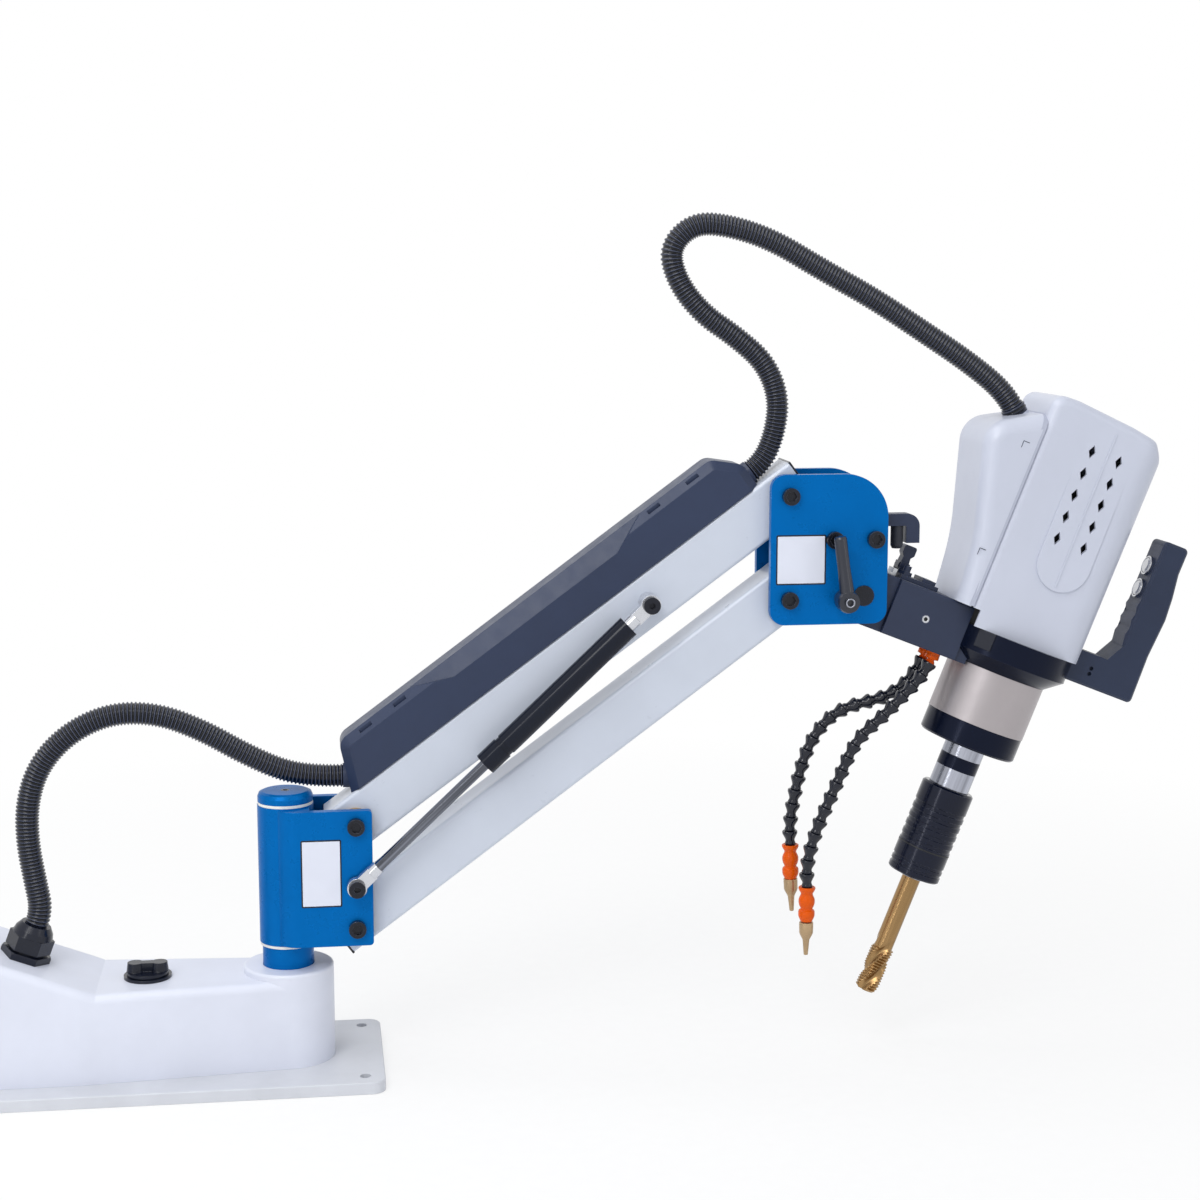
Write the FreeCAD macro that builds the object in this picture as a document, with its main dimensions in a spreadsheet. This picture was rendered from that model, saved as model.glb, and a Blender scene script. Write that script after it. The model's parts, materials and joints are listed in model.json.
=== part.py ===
import FreeCAD, Part
import math
import os

import Sketcher
from FreeCAD import Placement, Rotation, Vector

# Arm tapping machine, millimetres, +Z up.
# The origin is on the swivel axis of the post, on the underside of the foot plate.
# +X runs out along the arms, and -Y is the side that carries the gas spring.

document = FreeCAD.newDocument("arm_tapping_machine")
sheet = document.addObject("Spreadsheet::Sheet", "dims")

SIZES = {
    # foot plate and base housing
    "foot_front": 95, "foot_back": 345, "foot_half_width": 95, "foot_thickness": 12,
    "foot_corner": 14, "foot_hole_radius": 5.5, "foot_hole_inset": 20,
    "housing_back": 330, "housing_half_width": 64, "housing_neck": 46,
    "housing_taper_start": 205, "housing_top": 103, "housing_wall": 4, "housing_round": 9,
    "ramp_start": 190, "ramp_end": 300, "raised_top": 145,
    "boss_radius": 46, "boss_top": 110, "screw_post_radius": 7,
    "screw_post_inset": 5, "screw_front_place": 102,
    "screw_post_height": 26, "screw_radius": 2.5, "screw_head_radius": 5,
    "drive_length": 96, "drive_width": 84, "drive_height": 74, "drive_centre": 238,
    "inlet_width": 30, "inlet_height": 24, "inlet_depth": 26, "inlet_level": 60,
    "inlet_flange": 3, "inlet_rim": 5, "inlet_recess": 16, "inlet_recess_rim": 3,
    # cable gland and rotary switch
    "gland_place": 262.5, "gland_side": 10, "gland_flats": 44, "gland_nut": 7,
    "gland_body": 15, "gland_dome": 12, "gland_gap": 2, "gland_dome_radius": 19,
    "gland_shank": 9, "gland_lip_radius": 15, "conduit_radius": 11.8,
    "knob_place": 142, "knob_side": 7, "knob_flange_radius": 24, "knob_flange": 3,
    "knob_skirt_radius": 21, "knob_skirt": 3.5, "knob_wing": 9, "knob_wing_radius": 9,
    "knob_wing_waist": 5, "knob_spindle_radius": 3, "knob_bush_radius": 11,
    "knob_body": 30, "knob_gap": 0.3,
    # post, washers, cap
    "post_flange_radius": 40, "post_flange": 12, "spigot_radius": 26,
    "shaft_radius": 17, "post_screw_circle": 33, "post_screw_radius": 4,
    "post_screw_head": 6.5, "post_screw_grip": 22,
    "barrel_bottom": 135, "barrel_top": 278, "barrel_radius": 28.5,
    "washer": 3, "washer_radius": 28, "cap": 10.5, "cap_radius": 28, "cap_round": 5,
    "cap_screw_radius": 3.5, "cap_screw_head": 4.6, "cap_screw_length": 36, "cap_socket": 4.5,
    "cap_socket_depth": 4, "running_gap": 0.05, "clear_gap": 0.3,
    # yoke
    "bush_radius": 21, "bush_length": 40, "plate_gap": 60, "plate": 9,
    "yoke_front": 86.5, "yoke_back": 12, "yoke_edge": 1.5, "yoke_corner": 4, "yoke_round": 26,
    "cheek_front": 24, "web_back": 20, "web_front": 30, "web_inset": 28,
    "pivot_out": 70.2, "pivot_up": 260.7, "pivot_spacing": 106, "gas_drop": 61,
    "bolt_radius": 6, "bolt_head_radius": 8.8, "bolt_head": 7, "bolt_socket": 10,
    "bolt_socket_depth": 4, "nut_flats": 18, "nut": 9,
    # arms
    "arm_length": 550, "arm_angle": 36.5, "arm_width": 50, "arm_depth": 52,
    "arm_wall": 3, "arm_corner": 4, "arm_overhang": 20, "lower_arm_rise": 4,
    "arm_bush_radius": 11, "arm_flange_radius": 16, "plug": 2, "plug_insert": 8,
    "cover_start": 15, "cover_end": 532, "cover_height": 50, "cover_slant": 22,
    "cover_half_width": 26, "cover_wall": 2.5, "cover_round": 14, "cover_shoulder": 24,
    "port_radius": 12.4, "port_proud": 4, "port_inside": 12, "port_level": 38,
    "cover_bevel": 9, "scoop_start": 128, "scoop_end": 418, "scoop_run": 42, "scoop_drop": 17,
    "scoop_depth": 12, "cover_slot": 15, "cover_slot_width": 3.5, "cover_slot_edge": 5,
    "cover_slot_depth": 8,
    # gas spring
    "gas_reach": 371, "stud_collar": 3, "eye_radius": 10, "eye_width": 9.4, "eye_half_height": 7,
    "eye_length": 22, "stud_radius": 5, "stud_head_radius": 8.5, "stud_head": 6, "rod_radius": 5.5,
    "rod_neck_radius": 7.2, "rod_neck": 30, "gas_collar_start": 179, "gas_collar": 24, "gas_groove": 5,
    "gas_groove_radius": 10.7, "gas_tube_back": 31, "gas_tube_radius": 12, "gas_tube_step": 0.3,
    "gas_bore_radius": 9.7, "gas_mouth_radius": 8,
    "rod_inside": 110, "piston_radius": 6.5, "piston": 10, "gas_boss_radius": 9.5,
    # head plates
    "head_back": 19.7, "head_front": 102.3, "head_top": 21.8, "head_bottom": 132,
    "head_corner": 15, "head_arc": 45, "tie_out": 89, "tie_in": 46.3, "tie_drop": 45,
    "spacer_radius": 9, "tilt_out": 78, "tilt_drop": 103, "tilt_pin_radius": 10.5,
    "tilt_pin_proud": 1, "clamp_back": 22.3, "clamp_drop": 2.4, "clamp_stud_radius": 5,
    "clamp_hub_radius": 11.5, "clamp_hub": 30, "clamp_arm": 67, "clamp_arm_radius": 6.5,
    "clamp_root_radius": 8, "clamp_screw_radius": 5, "clamp_lean": 8, "clamp_tip": 2,
    "keeper_width": 16, "keeper_back": 34, "keeper_top": 22, "keeper_bar": 12.5,
    "keeper_tip": 142, "keeper_leg": 14, "keeper_drop": 52.4, "keeper_round": 13,
    "keeper_pad_bottom": 57, "bumper_out": 120, "bumper_radius": 6.5, "bumper_offset": 8,
    # tilt block and front block
    "tilt_rest": 21.5, "block_half_height": 29.5, "hub_round": 29.4, "block_seam": 33,
    "seam_gap": 0.3, "slot_radius": 5.6, "slot_spare": 0.6, "tilt_down": 35,
    "swivel_radius": 22, "swivel_length": 49, "groove_depth": 3, "groove_half": 4.6,
    "set_screw_place": 72, "set_screw_radius": 4, "front_half_width": 35,
    "front_end": 117.5, "spindle_out": 177,
    "latch_end": 77.5, "latch_thick": 4.5, "latch_half": 19, "latch_pin_out": 41,
    "latch_pin_up": 7.5, "latch_pin_radius": 2, "latch_top": 30, "latch_near": 4,
    "latch_far": 18, "latch_ear": 3, "latch_hub": 6.2, "latch_head": 9, "latch_neck": 4,
    "stop_screw_radius": 4, "stop_screw": 10.2, "stop_gap": 0.5,
    # spindle unit
    "collar_bottom": -26, "collar_cone": 14, "collar_top": 12, "collar_radius": 69.5,
    "ring_radius": 52.3, "ring_bottom": -84, "lower_ring_bottom": -109.5,
    "lower_ring_radius": 51.8, "lower_ring_round": 2, "gear_bore": 34,
    "nose_radius": 21.7, "nose_bottom": -158.5, "nose_band_top": -124,
    "nose_band_bottom": -138, "nose_band_depth": 1.5,
    "sleeve_radius": 28.2, "sleeve_bottom": -260,
    "rib_depth": 0.9, "rib_pitch": 9.8, "rib_width": 5, "rib_first": 45,
    "sleeve_seam_level": -227.5, "sleeve_round": 2,
    "collet_radius": 14, "collet_bottom": -263, "collet_seat": 60, "shank_radius": 10,
    "shank_bottom": -335, "thread_radius": 12.3, "thread_core": 10.6,
    "thread_top": -345, "tap_bottom": -394.5, "flute_radius": 5, "flute_offset": 13,
    "thread_pitch": 3.1,
    "motor_width": 80, "motor_height": 150, "motor_cap": 22, "motor_round": 6,
    # hood
    "hood_half_width": 52, "hood_face": 69.5, "hood_seam": 70.5, "hood_top": 262,
    "hood_step": 59.5, "hood_front_round": 34, "hood_back_round": 14,
    "hood_edge_round": 10, "hood_wall": 3, "rear_foot": 84, "rear_waist_up": 92,
    "rear_waist": 91, "rear_bulge": 127.5, "rear_bulge_up": 209, "rear_top_up": 240,
    "rear_bulge_round": 28, "rear_edge_round": 16, "rear_waist_round": 280, "seam_line": 0.4,
    "entry_turn": -51.5, "entry_proud": 8, "entry_inside": 12, "entry_share": 0.72,
    "panel_centre": 4, "panel_half": 29, "panel_bottom": 75, "panel_proud": 2.6,
    "panel_flush": 205, "ridge_half": 0.9, "ridge_proud": 0.7,
    "vent_top": 221, "vent_pitch": 23.7, "vent_half_width": 3.8, "vent_half_height": 7.3,
    "vent_apart": 15.4, "vent_count": 5,
    # handle
    "handle_outer": 146, "handle_inner": 113, "handle_bottom": -7,
    "foot_top": 28, "grip_top": 166, "handle_half_width": 18,
    "insert": 4, "insert_edge": 3, "insert_low": 48,
    "button_high": 135.5, "button_low": 110, "button_radius": 8,
    "button_proud": 4.5, "button_depth": 6, "bezel_radius": 10.5, "bezel": 2,
    "wave_depth": 1.6, "handle_round": 5,
    # coolant hoses
    "valve_out": 101, "valve_side": 13, "valve_radius": 7.5, "valve_length": 13,
    "valve_flange": 4, "valve_body": 3.5, "valve_neck_radius": 3.8, "valve_ball_radius": 5.2,
    "socket_rim": 1, "hose_small": 5, "hose_large": 8.1,
    "tip_radius": 9, "tip_waist": 6.4, "nozzle_radius": 7.5, "nozzle_neck": 3.4, "nozzle_end": 2.3,
}


class Size:
    """A number with the sheet expression that gives it."""

    def __init__(self, value, text):
        self.value = float(value)
        self.text = text

    def __add__(self, other):
        other = as_size(other)
        return Size(self.value + other.value, f"({self.text} + {other.text})")

    def __sub__(self, other):
        other = as_size(other)
        return Size(self.value - other.value, f"({self.text} - {other.text})")

    def __mul__(self, other):
        other = as_size(other)
        return Size(self.value * other.value, f"({self.text} * {other.text})")

    def __truediv__(self, other):
        other = as_size(other)
        return Size(self.value / other.value, f"({self.text} / {other.text})")

    def __radd__(self, other):
        return as_size(other) + self

    def __rsub__(self, other):
        return as_size(other) - self

    def __rmul__(self, other):
        return as_size(other) * self

    def __neg__(self):
        return Size(-self.value, f"(-1 * {self.text})")


def as_size(number):
    return number if isinstance(number, Size) else Size(number, repr(float(number)))


def cosine(angle):
    return Size(math.cos(math.radians(angle.value)), f"cos({angle.text} * 1deg)")


def sine(angle):
    return Size(math.sin(math.radians(angle.value)), f"sin({angle.text} * 1deg)")


def length_of(across, up):
    total = across * across + up * up
    return Size(math.sqrt(total.value), f"sqrt({total.text})")


def slope_of(across, up):
    degrees = math.degrees(math.atan2(up.value, across.value))
    return Size(degrees, f"(atan({up.text} / {across.text}) / 1deg)")


class Sheet:
    """Every size of the sheet as an attribute."""


dim = Sheet()
for row, (alias, number) in enumerate(SIZES.items(), start=1):
    sheet.set(f"A{row}", alias.replace("_", " "))
    sheet.set(f"B{row}", str(number))
    sheet.setAlias(f"B{row}", alias)
    setattr(dim, alias, Size(number, f"dims.{alias}"))
document.recompute()

nodes = {}


def bind(item, path, size):
    """Sets a property to a size and ties it to the sheet."""
    item.setExpression(path, as_size(size).text)


class Frame:
    """A place and a lean about -Y in which a group of sub-parts is drawn."""

    def __init__(self, out, up, lean):
        self.out = as_size(out)
        self.up = as_size(up)
        self.lean = as_size(lean)

    def point(self, along, across):
        """A point of this frame's XZ plane as world sizes."""
        out = self.out + along * cosine(self.lean) - across * sine(self.lean)
        up = self.up + along * sine(self.lean) + across * cosine(self.lean)
        return out, up


def keep(name, item, frame):
    """Names a finished sub-part and puts it in its frame."""
    item.Label = name
    if frame.lean.value or frame.lean.text != "0.0":
        turn = Rotation(Vector(0, -1, 0), frame.lean.value)
        item.Placement = Placement(Vector(frame.out.value, 0, frame.up.value), turn)
        bind(item, "Placement.Rotation.Angle", frame.lean)
        bind(item, "Placement.Base.x", frame.out)
        bind(item, "Placement.Base.z", frame.up)
    elif frame.out.text != "0.0" or frame.up.text != "0.0":
        bind(item, "Placement.Base.x", frame.out)
        bind(item, "Placement.Base.z", frame.up)
    nodes[name] = item
    return item


# Part primitives and booleans

AXIS_TURN = {
    "x": Rotation(Vector(0, 1, 0), 90),
    "y": Rotation(Vector(1, 0, 0), -90),
    "z": Rotation(),
}


def seat(item, axis, start, at):
    """Puts a primitive that grows along its own Z on a line along a row axis."""
    first, second = as_size(at[0]), as_size(at[1])
    spots = {"x": (start, first, second), "y": (first, start, second), "z": (first, second, start)}
    place = [as_size(spot) for spot in spots[axis]]
    item.Placement = Placement(Vector(*[spot.value for spot in place]), AXIS_TURN[axis])
    for letter, spot in zip("xyz", place):
        bind(item, f"Placement.Base.{letter}", spot)
    return item


def box(along, across, upright):
    item = document.addObject("Part::Box", "block")
    for name, letter, (low, high) in zip(
        ("Length", "Width", "Height"), "xyz", (along, across, upright)
    ):
        bind(item, name, as_size(high) - low)
        bind(item, f"Placement.Base.{letter}", low)
    return item


def rod(axis, radius, start, end, at=(0, 0)):
    item = document.addObject("Part::Cylinder", "rod")
    bind(item, "Radius", radius)
    bind(item, "Height", as_size(end) - start)
    return seat(item, axis, start, at)


def taper(axis, radius_start, radius_end, start, end, at=(0, 0)):
    item = document.addObject("Part::Cone", "taper")
    bind(item, "Radius1", radius_start)
    bind(item, "Radius2", radius_end)
    bind(item, "Height", as_size(end) - start)
    return seat(item, axis, start, at)


def hexagon(axis, flats, start, end, at=(0, 0)):
    item = document.addObject("Part::Prism", "hexagon")
    item.Polygon = 6
    bind(item, "Circumradius", as_size(flats) / math.sqrt(3))
    bind(item, "Height", as_size(end) - start)
    return seat(item, axis, start, at)


def fuse(*items):
    if len(items) == 1:
        return items[0]
    item = document.addObject("Part::MultiFuse", "joined")
    item.Shapes = list(items)
    item.Refine = True
    return item


def cut(base, *tools):
    item = document.addObject("Part::Cut", "trimmed")
    item.Base = base
    item.Tool = fuse(*tools)
    item.Refine = True
    return item


def common(first, second):
    item = document.addObject("Part::MultiCommon", "shared")
    item.Shapes = [first, second]
    item.Refine = True
    return item


def group(*items):
    """Separate solids that make one node."""
    item = document.addObject("Part::Compound", "group")
    item.Links = list(items)
    return item


def tube(axis, outer, inner, start, end, at=(0, 0)):
    return cut(rod(axis, outer, start, end, at), rod(axis, inner, start - as_size(1), end + as_size(1), at))


# PartDesign bodies


class Solid:
    """A PartDesign body that grows feature by feature."""

    def __init__(self, name):
        self.body = document.addObject("PartDesign::Body", name)

    def plane(self, name):
        return [f for f in self.body.Origin.OriginFeatures if f.Role == f"{name}_Plane"][0]

    def sketch(self, plane):
        item = self.body.newObject("Sketcher::SketchObject", "sketch")
        item.AttachmentSupport = [(self.plane(plane), "")]
        item.MapMode = "FlatFace"
        return item

    def pin(self, sketch, shape, point, spot):
        """Ties one point of a sketch's shape to its two sizes."""
        for kind, size in zip(("DistanceX", "DistanceY"), spot):
            size = as_size(size)
            rule = Sketcher.Constraint(kind, -1, 1, shape, point, size.value)
            number = sketch.addConstraint(rule)
            if "dims." in size.text:
                bind(sketch, f"Constraints[{number}]", size)

    def outline(self, plane, corners, sketch=None):
        """A closed outline of straight edges."""
        sketch = sketch or self.sketch(plane)
        spots = [Vector(as_size(x).value, as_size(y).value, 0) for x, y in corners]
        first = sketch.GeometryCount
        count = len(spots)
        for number in range(count):
            sketch.addGeometry(Part.LineSegment(spots[number], spots[(number + 1) % count]))
        for number in range(count):
            following = first + (number + 1) % count
            rule = Sketcher.Constraint("Coincident", first + number, 2, following, 1)
            sketch.addConstraint(rule)
        for number in range(count):
            self.pin(sketch, first + number, 1, corners[number])
        return sketch

    def circles(self, plane, rings):
        """Circles given as across, up and radius."""
        sketch = self.sketch(plane)
        for across, up, radius in rings:
            centre = Vector(as_size(across).value, as_size(up).value, 0)
            size = as_size(radius)
            shape = sketch.addGeometry(Part.Circle(centre, Vector(0, 0, 1), size.value))
            self.pin(sketch, shape, 3, (across, up))
            number = sketch.addConstraint(Sketcher.Constraint("Radius", shape, size.value))
            bind(sketch, f"Constraints[{number}]", size)
        return sketch

    def spread(self, feature, plane, low, high, forward):
        """Runs a pad or pocket between two levels along the plane's row axis."""
        feature.SideType = "Two sides"
        low, high = as_size(low), as_size(high)
        ahead, behind = ("Length", "Length2") if forward else ("Length2", "Length")
        if plane == "XZ":
            ahead, behind = behind, ahead
        bind(feature, ahead, high)
        bind(feature, behind, -low)
        document.recompute()
        if "Invalid" in feature.State:
            raise RuntimeError(f"{feature.Name} of {self.body.Name} fails")
        return feature

    def pad(self, plane, sketch, low, high):
        feature = self.body.newObject("PartDesign::Pad", "pad")
        feature.Profile = sketch
        return self.spread(feature, plane, low, high, True)

    def pocket(self, plane, sketch, low, high):
        before = self.body.Shape.Volume
        feature = self.body.newObject("PartDesign::Pocket", "pocket")
        feature.Profile = sketch
        self.spread(feature, plane, low, high, False)
        if self.body.Shape.Volume > before - 1e-3:
            raise RuntimeError(f"a pocket of {self.body.Name} cuts nothing")
        return feature

    def revolve(self, corners):
        """A solid turned about the body's Z from radius and height pairs."""
        sketch = self.outline("XZ", corners)
        feature = self.body.newObject("PartDesign::Revolution", "turned")
        feature.Profile = sketch
        feature.ReferenceAxis = (sketch, ["V_Axis"])
        feature.Angle = 360
        document.recompute()
        return self

    def groove(self, corners):
        sketch = self.outline("XZ", corners)
        feature = self.body.newObject("PartDesign::Groove", "groove")
        feature.Profile = sketch
        feature.ReferenceAxis = (sketch, ["V_Axis"])
        feature.Angle = 360
        document.recompute()
        return self

    def edges(self, test):
        shape = self.body.Tip.Shape
        return [f"Edge{n}" for n, edge in enumerate(shape.Edges, start=1) if test(edge)]

    def dress(self, kind, path, size, test):
        names = self.edges(test)
        if not names:
            raise RuntimeError(f"no edge of {self.body.Name} is chosen")
        base = self.body.Tip
        feature = self.body.newObject(f"PartDesign::{kind}", kind.lower())
        feature.Base = (base, names)
        bind(feature, path, size)
        document.recompute()
        if "Invalid" in feature.State:
            raise RuntimeError(f"{feature.Name} of {self.body.Name} fails")
        return self

    def round_edges(self, radius, test):
        return self.dress("Fillet", "Radius", radius, test)

    def bevel_edges(self, size, test):
        return self.dress("Chamfer", "Size", size, test)


def runs_along(axis, **limits):
    """Chooses straight edges along an axis whose middle lies near the given values."""
    direction = {"x": Vector(1, 0, 0), "y": Vector(0, 1, 0), "z": Vector(0, 0, 1)}[axis]
    near = 0.6

    def test(edge):
        if edge.Curve.TypeId != "Part::GeomLine":
            return False
        first, last = edge.Vertexes[0].Point, edge.Vertexes[-1].Point
        reach = last - first
        if reach.Length < 1e-6 or abs(abs(reach.dot(direction)) - reach.Length) > 1e-6:
            return False
        middle = (first + last) * 0.5
        return all(
            abs(getattr(middle, letter) - as_size(size).value) < near
            for letter, size in limits.items()
        )

    return test


def any_of(*tests):
    return lambda edge: any(test(edge) for test in tests)


ground = Frame(0, 0, 0)

# Foot plate, housing and what they carry

post_inset = dim.housing_wall + dim.screw_post_inset
screw_rear = (post_inset + dim.screw_post_radius - dim.housing_back, dim.housing_half_width - post_inset)
front_share = dim.screw_front_place / dim.housing_taper_start
front_side = dim.housing_neck + (dim.housing_half_width - dim.housing_neck) * front_share
screw_front = (-dim.screw_front_place, front_side - post_inset)
screw_spots = [(x, side * y) for x, y in (screw_rear, screw_front) for side in (1, -1)]
flange_turns = (45, 135, 225, 315)
flange_spots = [
    (dim.post_screw_circle * math.cos(math.radians(turn)),
     dim.post_screw_circle * math.sin(math.radians(turn)))
    for turn in flange_turns
]

plate = Solid("foot_body")
front, back, side = dim.foot_front, -dim.foot_back, dim.foot_half_width
plate.pad(
    "XY",
    plate.outline("XY", [(back, -side), (front, -side), (front, side), (back, side)]),
    0, dim.foot_thickness,
)
plate.round_edges(dim.foot_corner, runs_along("z"))
inset = dim.foot_hole_inset
foot_holes = [
    (x, y, dim.foot_hole_radius)
    for x in (front - inset, back + inset)
    for y in (side - inset, inset - side)
]
plate.pocket("XY", plate.circles("XY", foot_holes), -1, dim.foot_thickness + 1)
plate.pocket(
    "XY",
    plate.circles("XY", [(x, y, dim.post_screw_radius) for x, y in flange_spots]),
    -1, dim.foot_thickness + 1,
)
plate.pocket(
    "XY",
    plate.circles("XY", [(x, y, dim.screw_radius) for x, y in screw_spots]),
    -1, dim.foot_thickness + 1,
)
plate.pocket(
    "XY",
    plate.circles("XY", [(x, y, dim.screw_head_radius + 0.5) for x, y in screw_spots]),
    -1, dim.foot_thickness / 2,
)
plate.bevel_edges(
    1, lambda edge: edge.BoundBox.ZLength < 0.01 and edge.BoundBox.ZMin > SIZES["foot_thickness"] - 0.01
    and edge.BoundBox.XLength + edge.BoundBox.YLength > 24,
)
keep("base_plate", plate.body, ground)

shell = Solid("housing_body")
rear, half, neck = -dim.housing_back, dim.housing_half_width, dim.housing_neck
bend = -dim.housing_taper_start
floor = dim.foot_thickness
shell.pad(
    "XY",
    shell.outline("XY", [(rear, -half), (bend, -half), (0, -neck), (0, neck), (bend, half), (rear, half)]),
    floor, dim.raised_top,
)
ramp_foot, ramp_head = -dim.ramp_start, -dim.ramp_end
clear = dim.raised_top + 5
shell.pocket(
    "XZ",
    shell.outline("XZ", [(ramp_foot, dim.housing_top), (20, dim.housing_top), (20, clear),
                         (ramp_head, clear), (ramp_head, dim.raised_top)]),
    -half - 5, half + 5,
)
shell.round_edges(dim.housing_round + 1, runs_along("z", x=rear))
upper_rim = SIZES["housing_top"] - 0.01
shell.round_edges(
    dim.housing_round,
    lambda edge: edge.BoundBox.ZMin > upper_rim
    and (edge.BoundBox.XLength > 0.01 or edge.BoundBox.XMin < 1 - SIZES["housing_back"]),
)
shell.pad("XY", shell.circles("XY", [(0, 0, dim.boss_radius)]), floor, dim.boss_top)
shell.round_edges(
    3, lambda edge: abs(edge.BoundBox.Center.z - SIZES["boss_top"]) < 0.01 and edge.BoundBox.XMax > 1,
)
wall = dim.housing_wall
ramp_rise = dim.raised_top - dim.housing_top
ramp_run = dim.ramp_end - dim.ramp_start
ramp_slope = slope_of(ramp_run, ramp_rise)
nip = dim.housing_round
low_roof = dim.housing_top - wall
shell.pocket(
    "XY",
    shell.outline("XY", [
        (rear + wall, nip - half), (rear + wall + nip - 2, wall - half), (bend, wall - half),
        (0, wall - neck), (0, neck - wall), (bend, half - wall),
        (rear + wall + nip - 2, half - wall), (rear + wall, half - nip),
    ]),
    floor - 1, low_roof,
)
high_roof = dim.raised_top - wall
ramp_drop = wall / cosine(ramp_slope)
shell.pocket(
    "XZ",
    shell.outline("XZ", [
        (rear + wall + nip / 2, low_roof - 2), (rear + wall + nip / 2, high_roof), (ramp_head, high_roof),
        (ramp_foot, dim.housing_top - ramp_drop), (ramp_foot, low_roof - 2),
    ]),
    nip - half, half - nip,
)
shell.pocket("XY", shell.circles("XY", [(0, 0, dim.boss_radius - wall)]), floor - 1, dim.boss_top - wall)
shell.pocket(
    "XY", shell.circles("XY", [(0, 0, dim.spigot_radius + dim.clear_gap)]), floor, dim.boss_top + 1,
)
shell.pad(
    "XY",
    shell.circles("XY", [(x, y, dim.screw_post_radius) for x, y in screw_spots]),
    floor, floor + dim.screw_post_height,
)
shell.pocket(
    "XY",
    shell.circles("XY", [(x, y, dim.screw_radius) for x, y in screw_spots]),
    floor - 1, floor + dim.screw_post_height - 4,
)
shell.pocket(
    "XY",
    shell.circles("XY", [(-dim.knob_place, -dim.knob_side, dim.knob_bush_radius)]),
    low_roof - 5, dim.housing_top + 5,
)
inlet_low = dim.inlet_level - dim.inlet_height / 2
inlet_high = dim.inlet_level + dim.inlet_height / 2
inlet_side = dim.inlet_width / 2
shell.pocket(
    "YZ",
    shell.outline("YZ", [(-inlet_side, inlet_low), (inlet_side, inlet_low),
                         (inlet_side, inlet_high), (-inlet_side, inlet_high)]),
    rear - 5, rear + wall + 5,
)
gland_frame = Frame(
    -dim.gland_place, dim.housing_top + (dim.gland_place - dim.ramp_start) * ramp_rise / ramp_run,
    -ramp_slope,
)
gland_hole = Solid("gland_hole")
gland_hole.pad(
    "XY", gland_hole.circles("XY", [(0, -dim.gland_side, dim.gland_shank)]), -wall * 3, wall * 3,
)
gland_cutter = gland_hole.body
gland_cutter.Placement = Placement(
    Vector(gland_frame.out.value, 0, gland_frame.up.value),
    Rotation(Vector(0, 1, 0), ramp_slope.value),
)
bind(gland_cutter, "Placement.Base.x", gland_frame.out)
bind(gland_cutter, "Placement.Base.z", gland_frame.up)
bind(gland_cutter, "Placement.Rotation.Angle", ramp_slope)
keep("base_housing", cut(shell.body, gland_cutter), ground)

gland_at = (0, -dim.gland_side)
nut_top = dim.gland_nut
body_low = nut_top + dim.gland_gap
body_high = body_low + dim.gland_body
gland_top = body_high + dim.gland_dome
dome_turn = body_high + dim.gland_dome / 2
gland = cut(
    fuse(
        common(hexagon("z", dim.gland_flats, 0, nut_top, gland_at),
               taper("z", dim.gland_flats * 0.62, dim.gland_flats * 0.5, 0, nut_top + 6, gland_at)),
        rod("z", dim.gland_flats * 0.4, nut_top, body_low, gland_at),
        hexagon("z", dim.gland_flats - 4, body_low, body_high, gland_at),
        taper("z", dim.gland_flats * 0.47, dim.gland_dome_radius, body_high, dome_turn, gland_at),
        taper("z", dim.gland_dome_radius, dim.gland_lip_radius, dome_turn, gland_top, gland_at),
        rod("z", dim.gland_shank, -wall - 9, 0, gland_at),
        hexagon("z", dim.gland_shank * 2.6, -wall - 6, -wall, gland_at),
    ),
    rod("z", dim.gland_shank - 2.5, -wall - 12, body_low, gland_at),
)
keep("cable_gland", gland, gland_frame)

drive_half = dim.drive_length / 2
drive_side = dim.drive_width / 2
keep(
    "servo_drive",
    fuse(
        box((-dim.drive_centre - drive_half, -dim.drive_centre + drive_half),
            (-drive_side, drive_side), (floor, floor + dim.drive_height)),
        box((-dim.drive_centre - drive_half + 10, -dim.drive_centre + drive_half - 40),
            (-drive_side + 12, drive_side - 12),
            (floor + dim.drive_height, floor + dim.drive_height + 8)),
    ),
    ground,
)

inlet_rim = dim.inlet_rim
socket_side = inlet_side - dim.inlet_recess_rim
socket_low, socket_high = inlet_low + dim.inlet_recess_rim, inlet_high - dim.inlet_recess_rim
inlet = fuse(
    cut(
        fuse(
            box((rear, rear + dim.inlet_depth), (-inlet_side, inlet_side), (inlet_low, inlet_high)),
            box((rear - dim.inlet_flange, rear), (-inlet_side - inlet_rim, inlet_side + inlet_rim),
                (inlet_low - inlet_rim, inlet_high + inlet_rim)),
        ),
        box((rear - dim.inlet_flange - 1, rear + dim.inlet_recess), (-socket_side, socket_side),
            (socket_low, socket_high)),
    ),
    box((rear + 8, rear + dim.inlet_recess + 2), (-7.5, -5.5), (dim.inlet_level - 4, dim.inlet_level + 2)),
    box((rear + 8, rear + dim.inlet_recess + 2), (5.5, 7.5), (dim.inlet_level - 4, dim.inlet_level + 2)),
    box((rear + 8, rear + dim.inlet_recess + 2), (-1, 1), (dim.inlet_level, dim.inlet_level + 6)),
)
keep("mains_inlet", inlet, ground)

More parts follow.
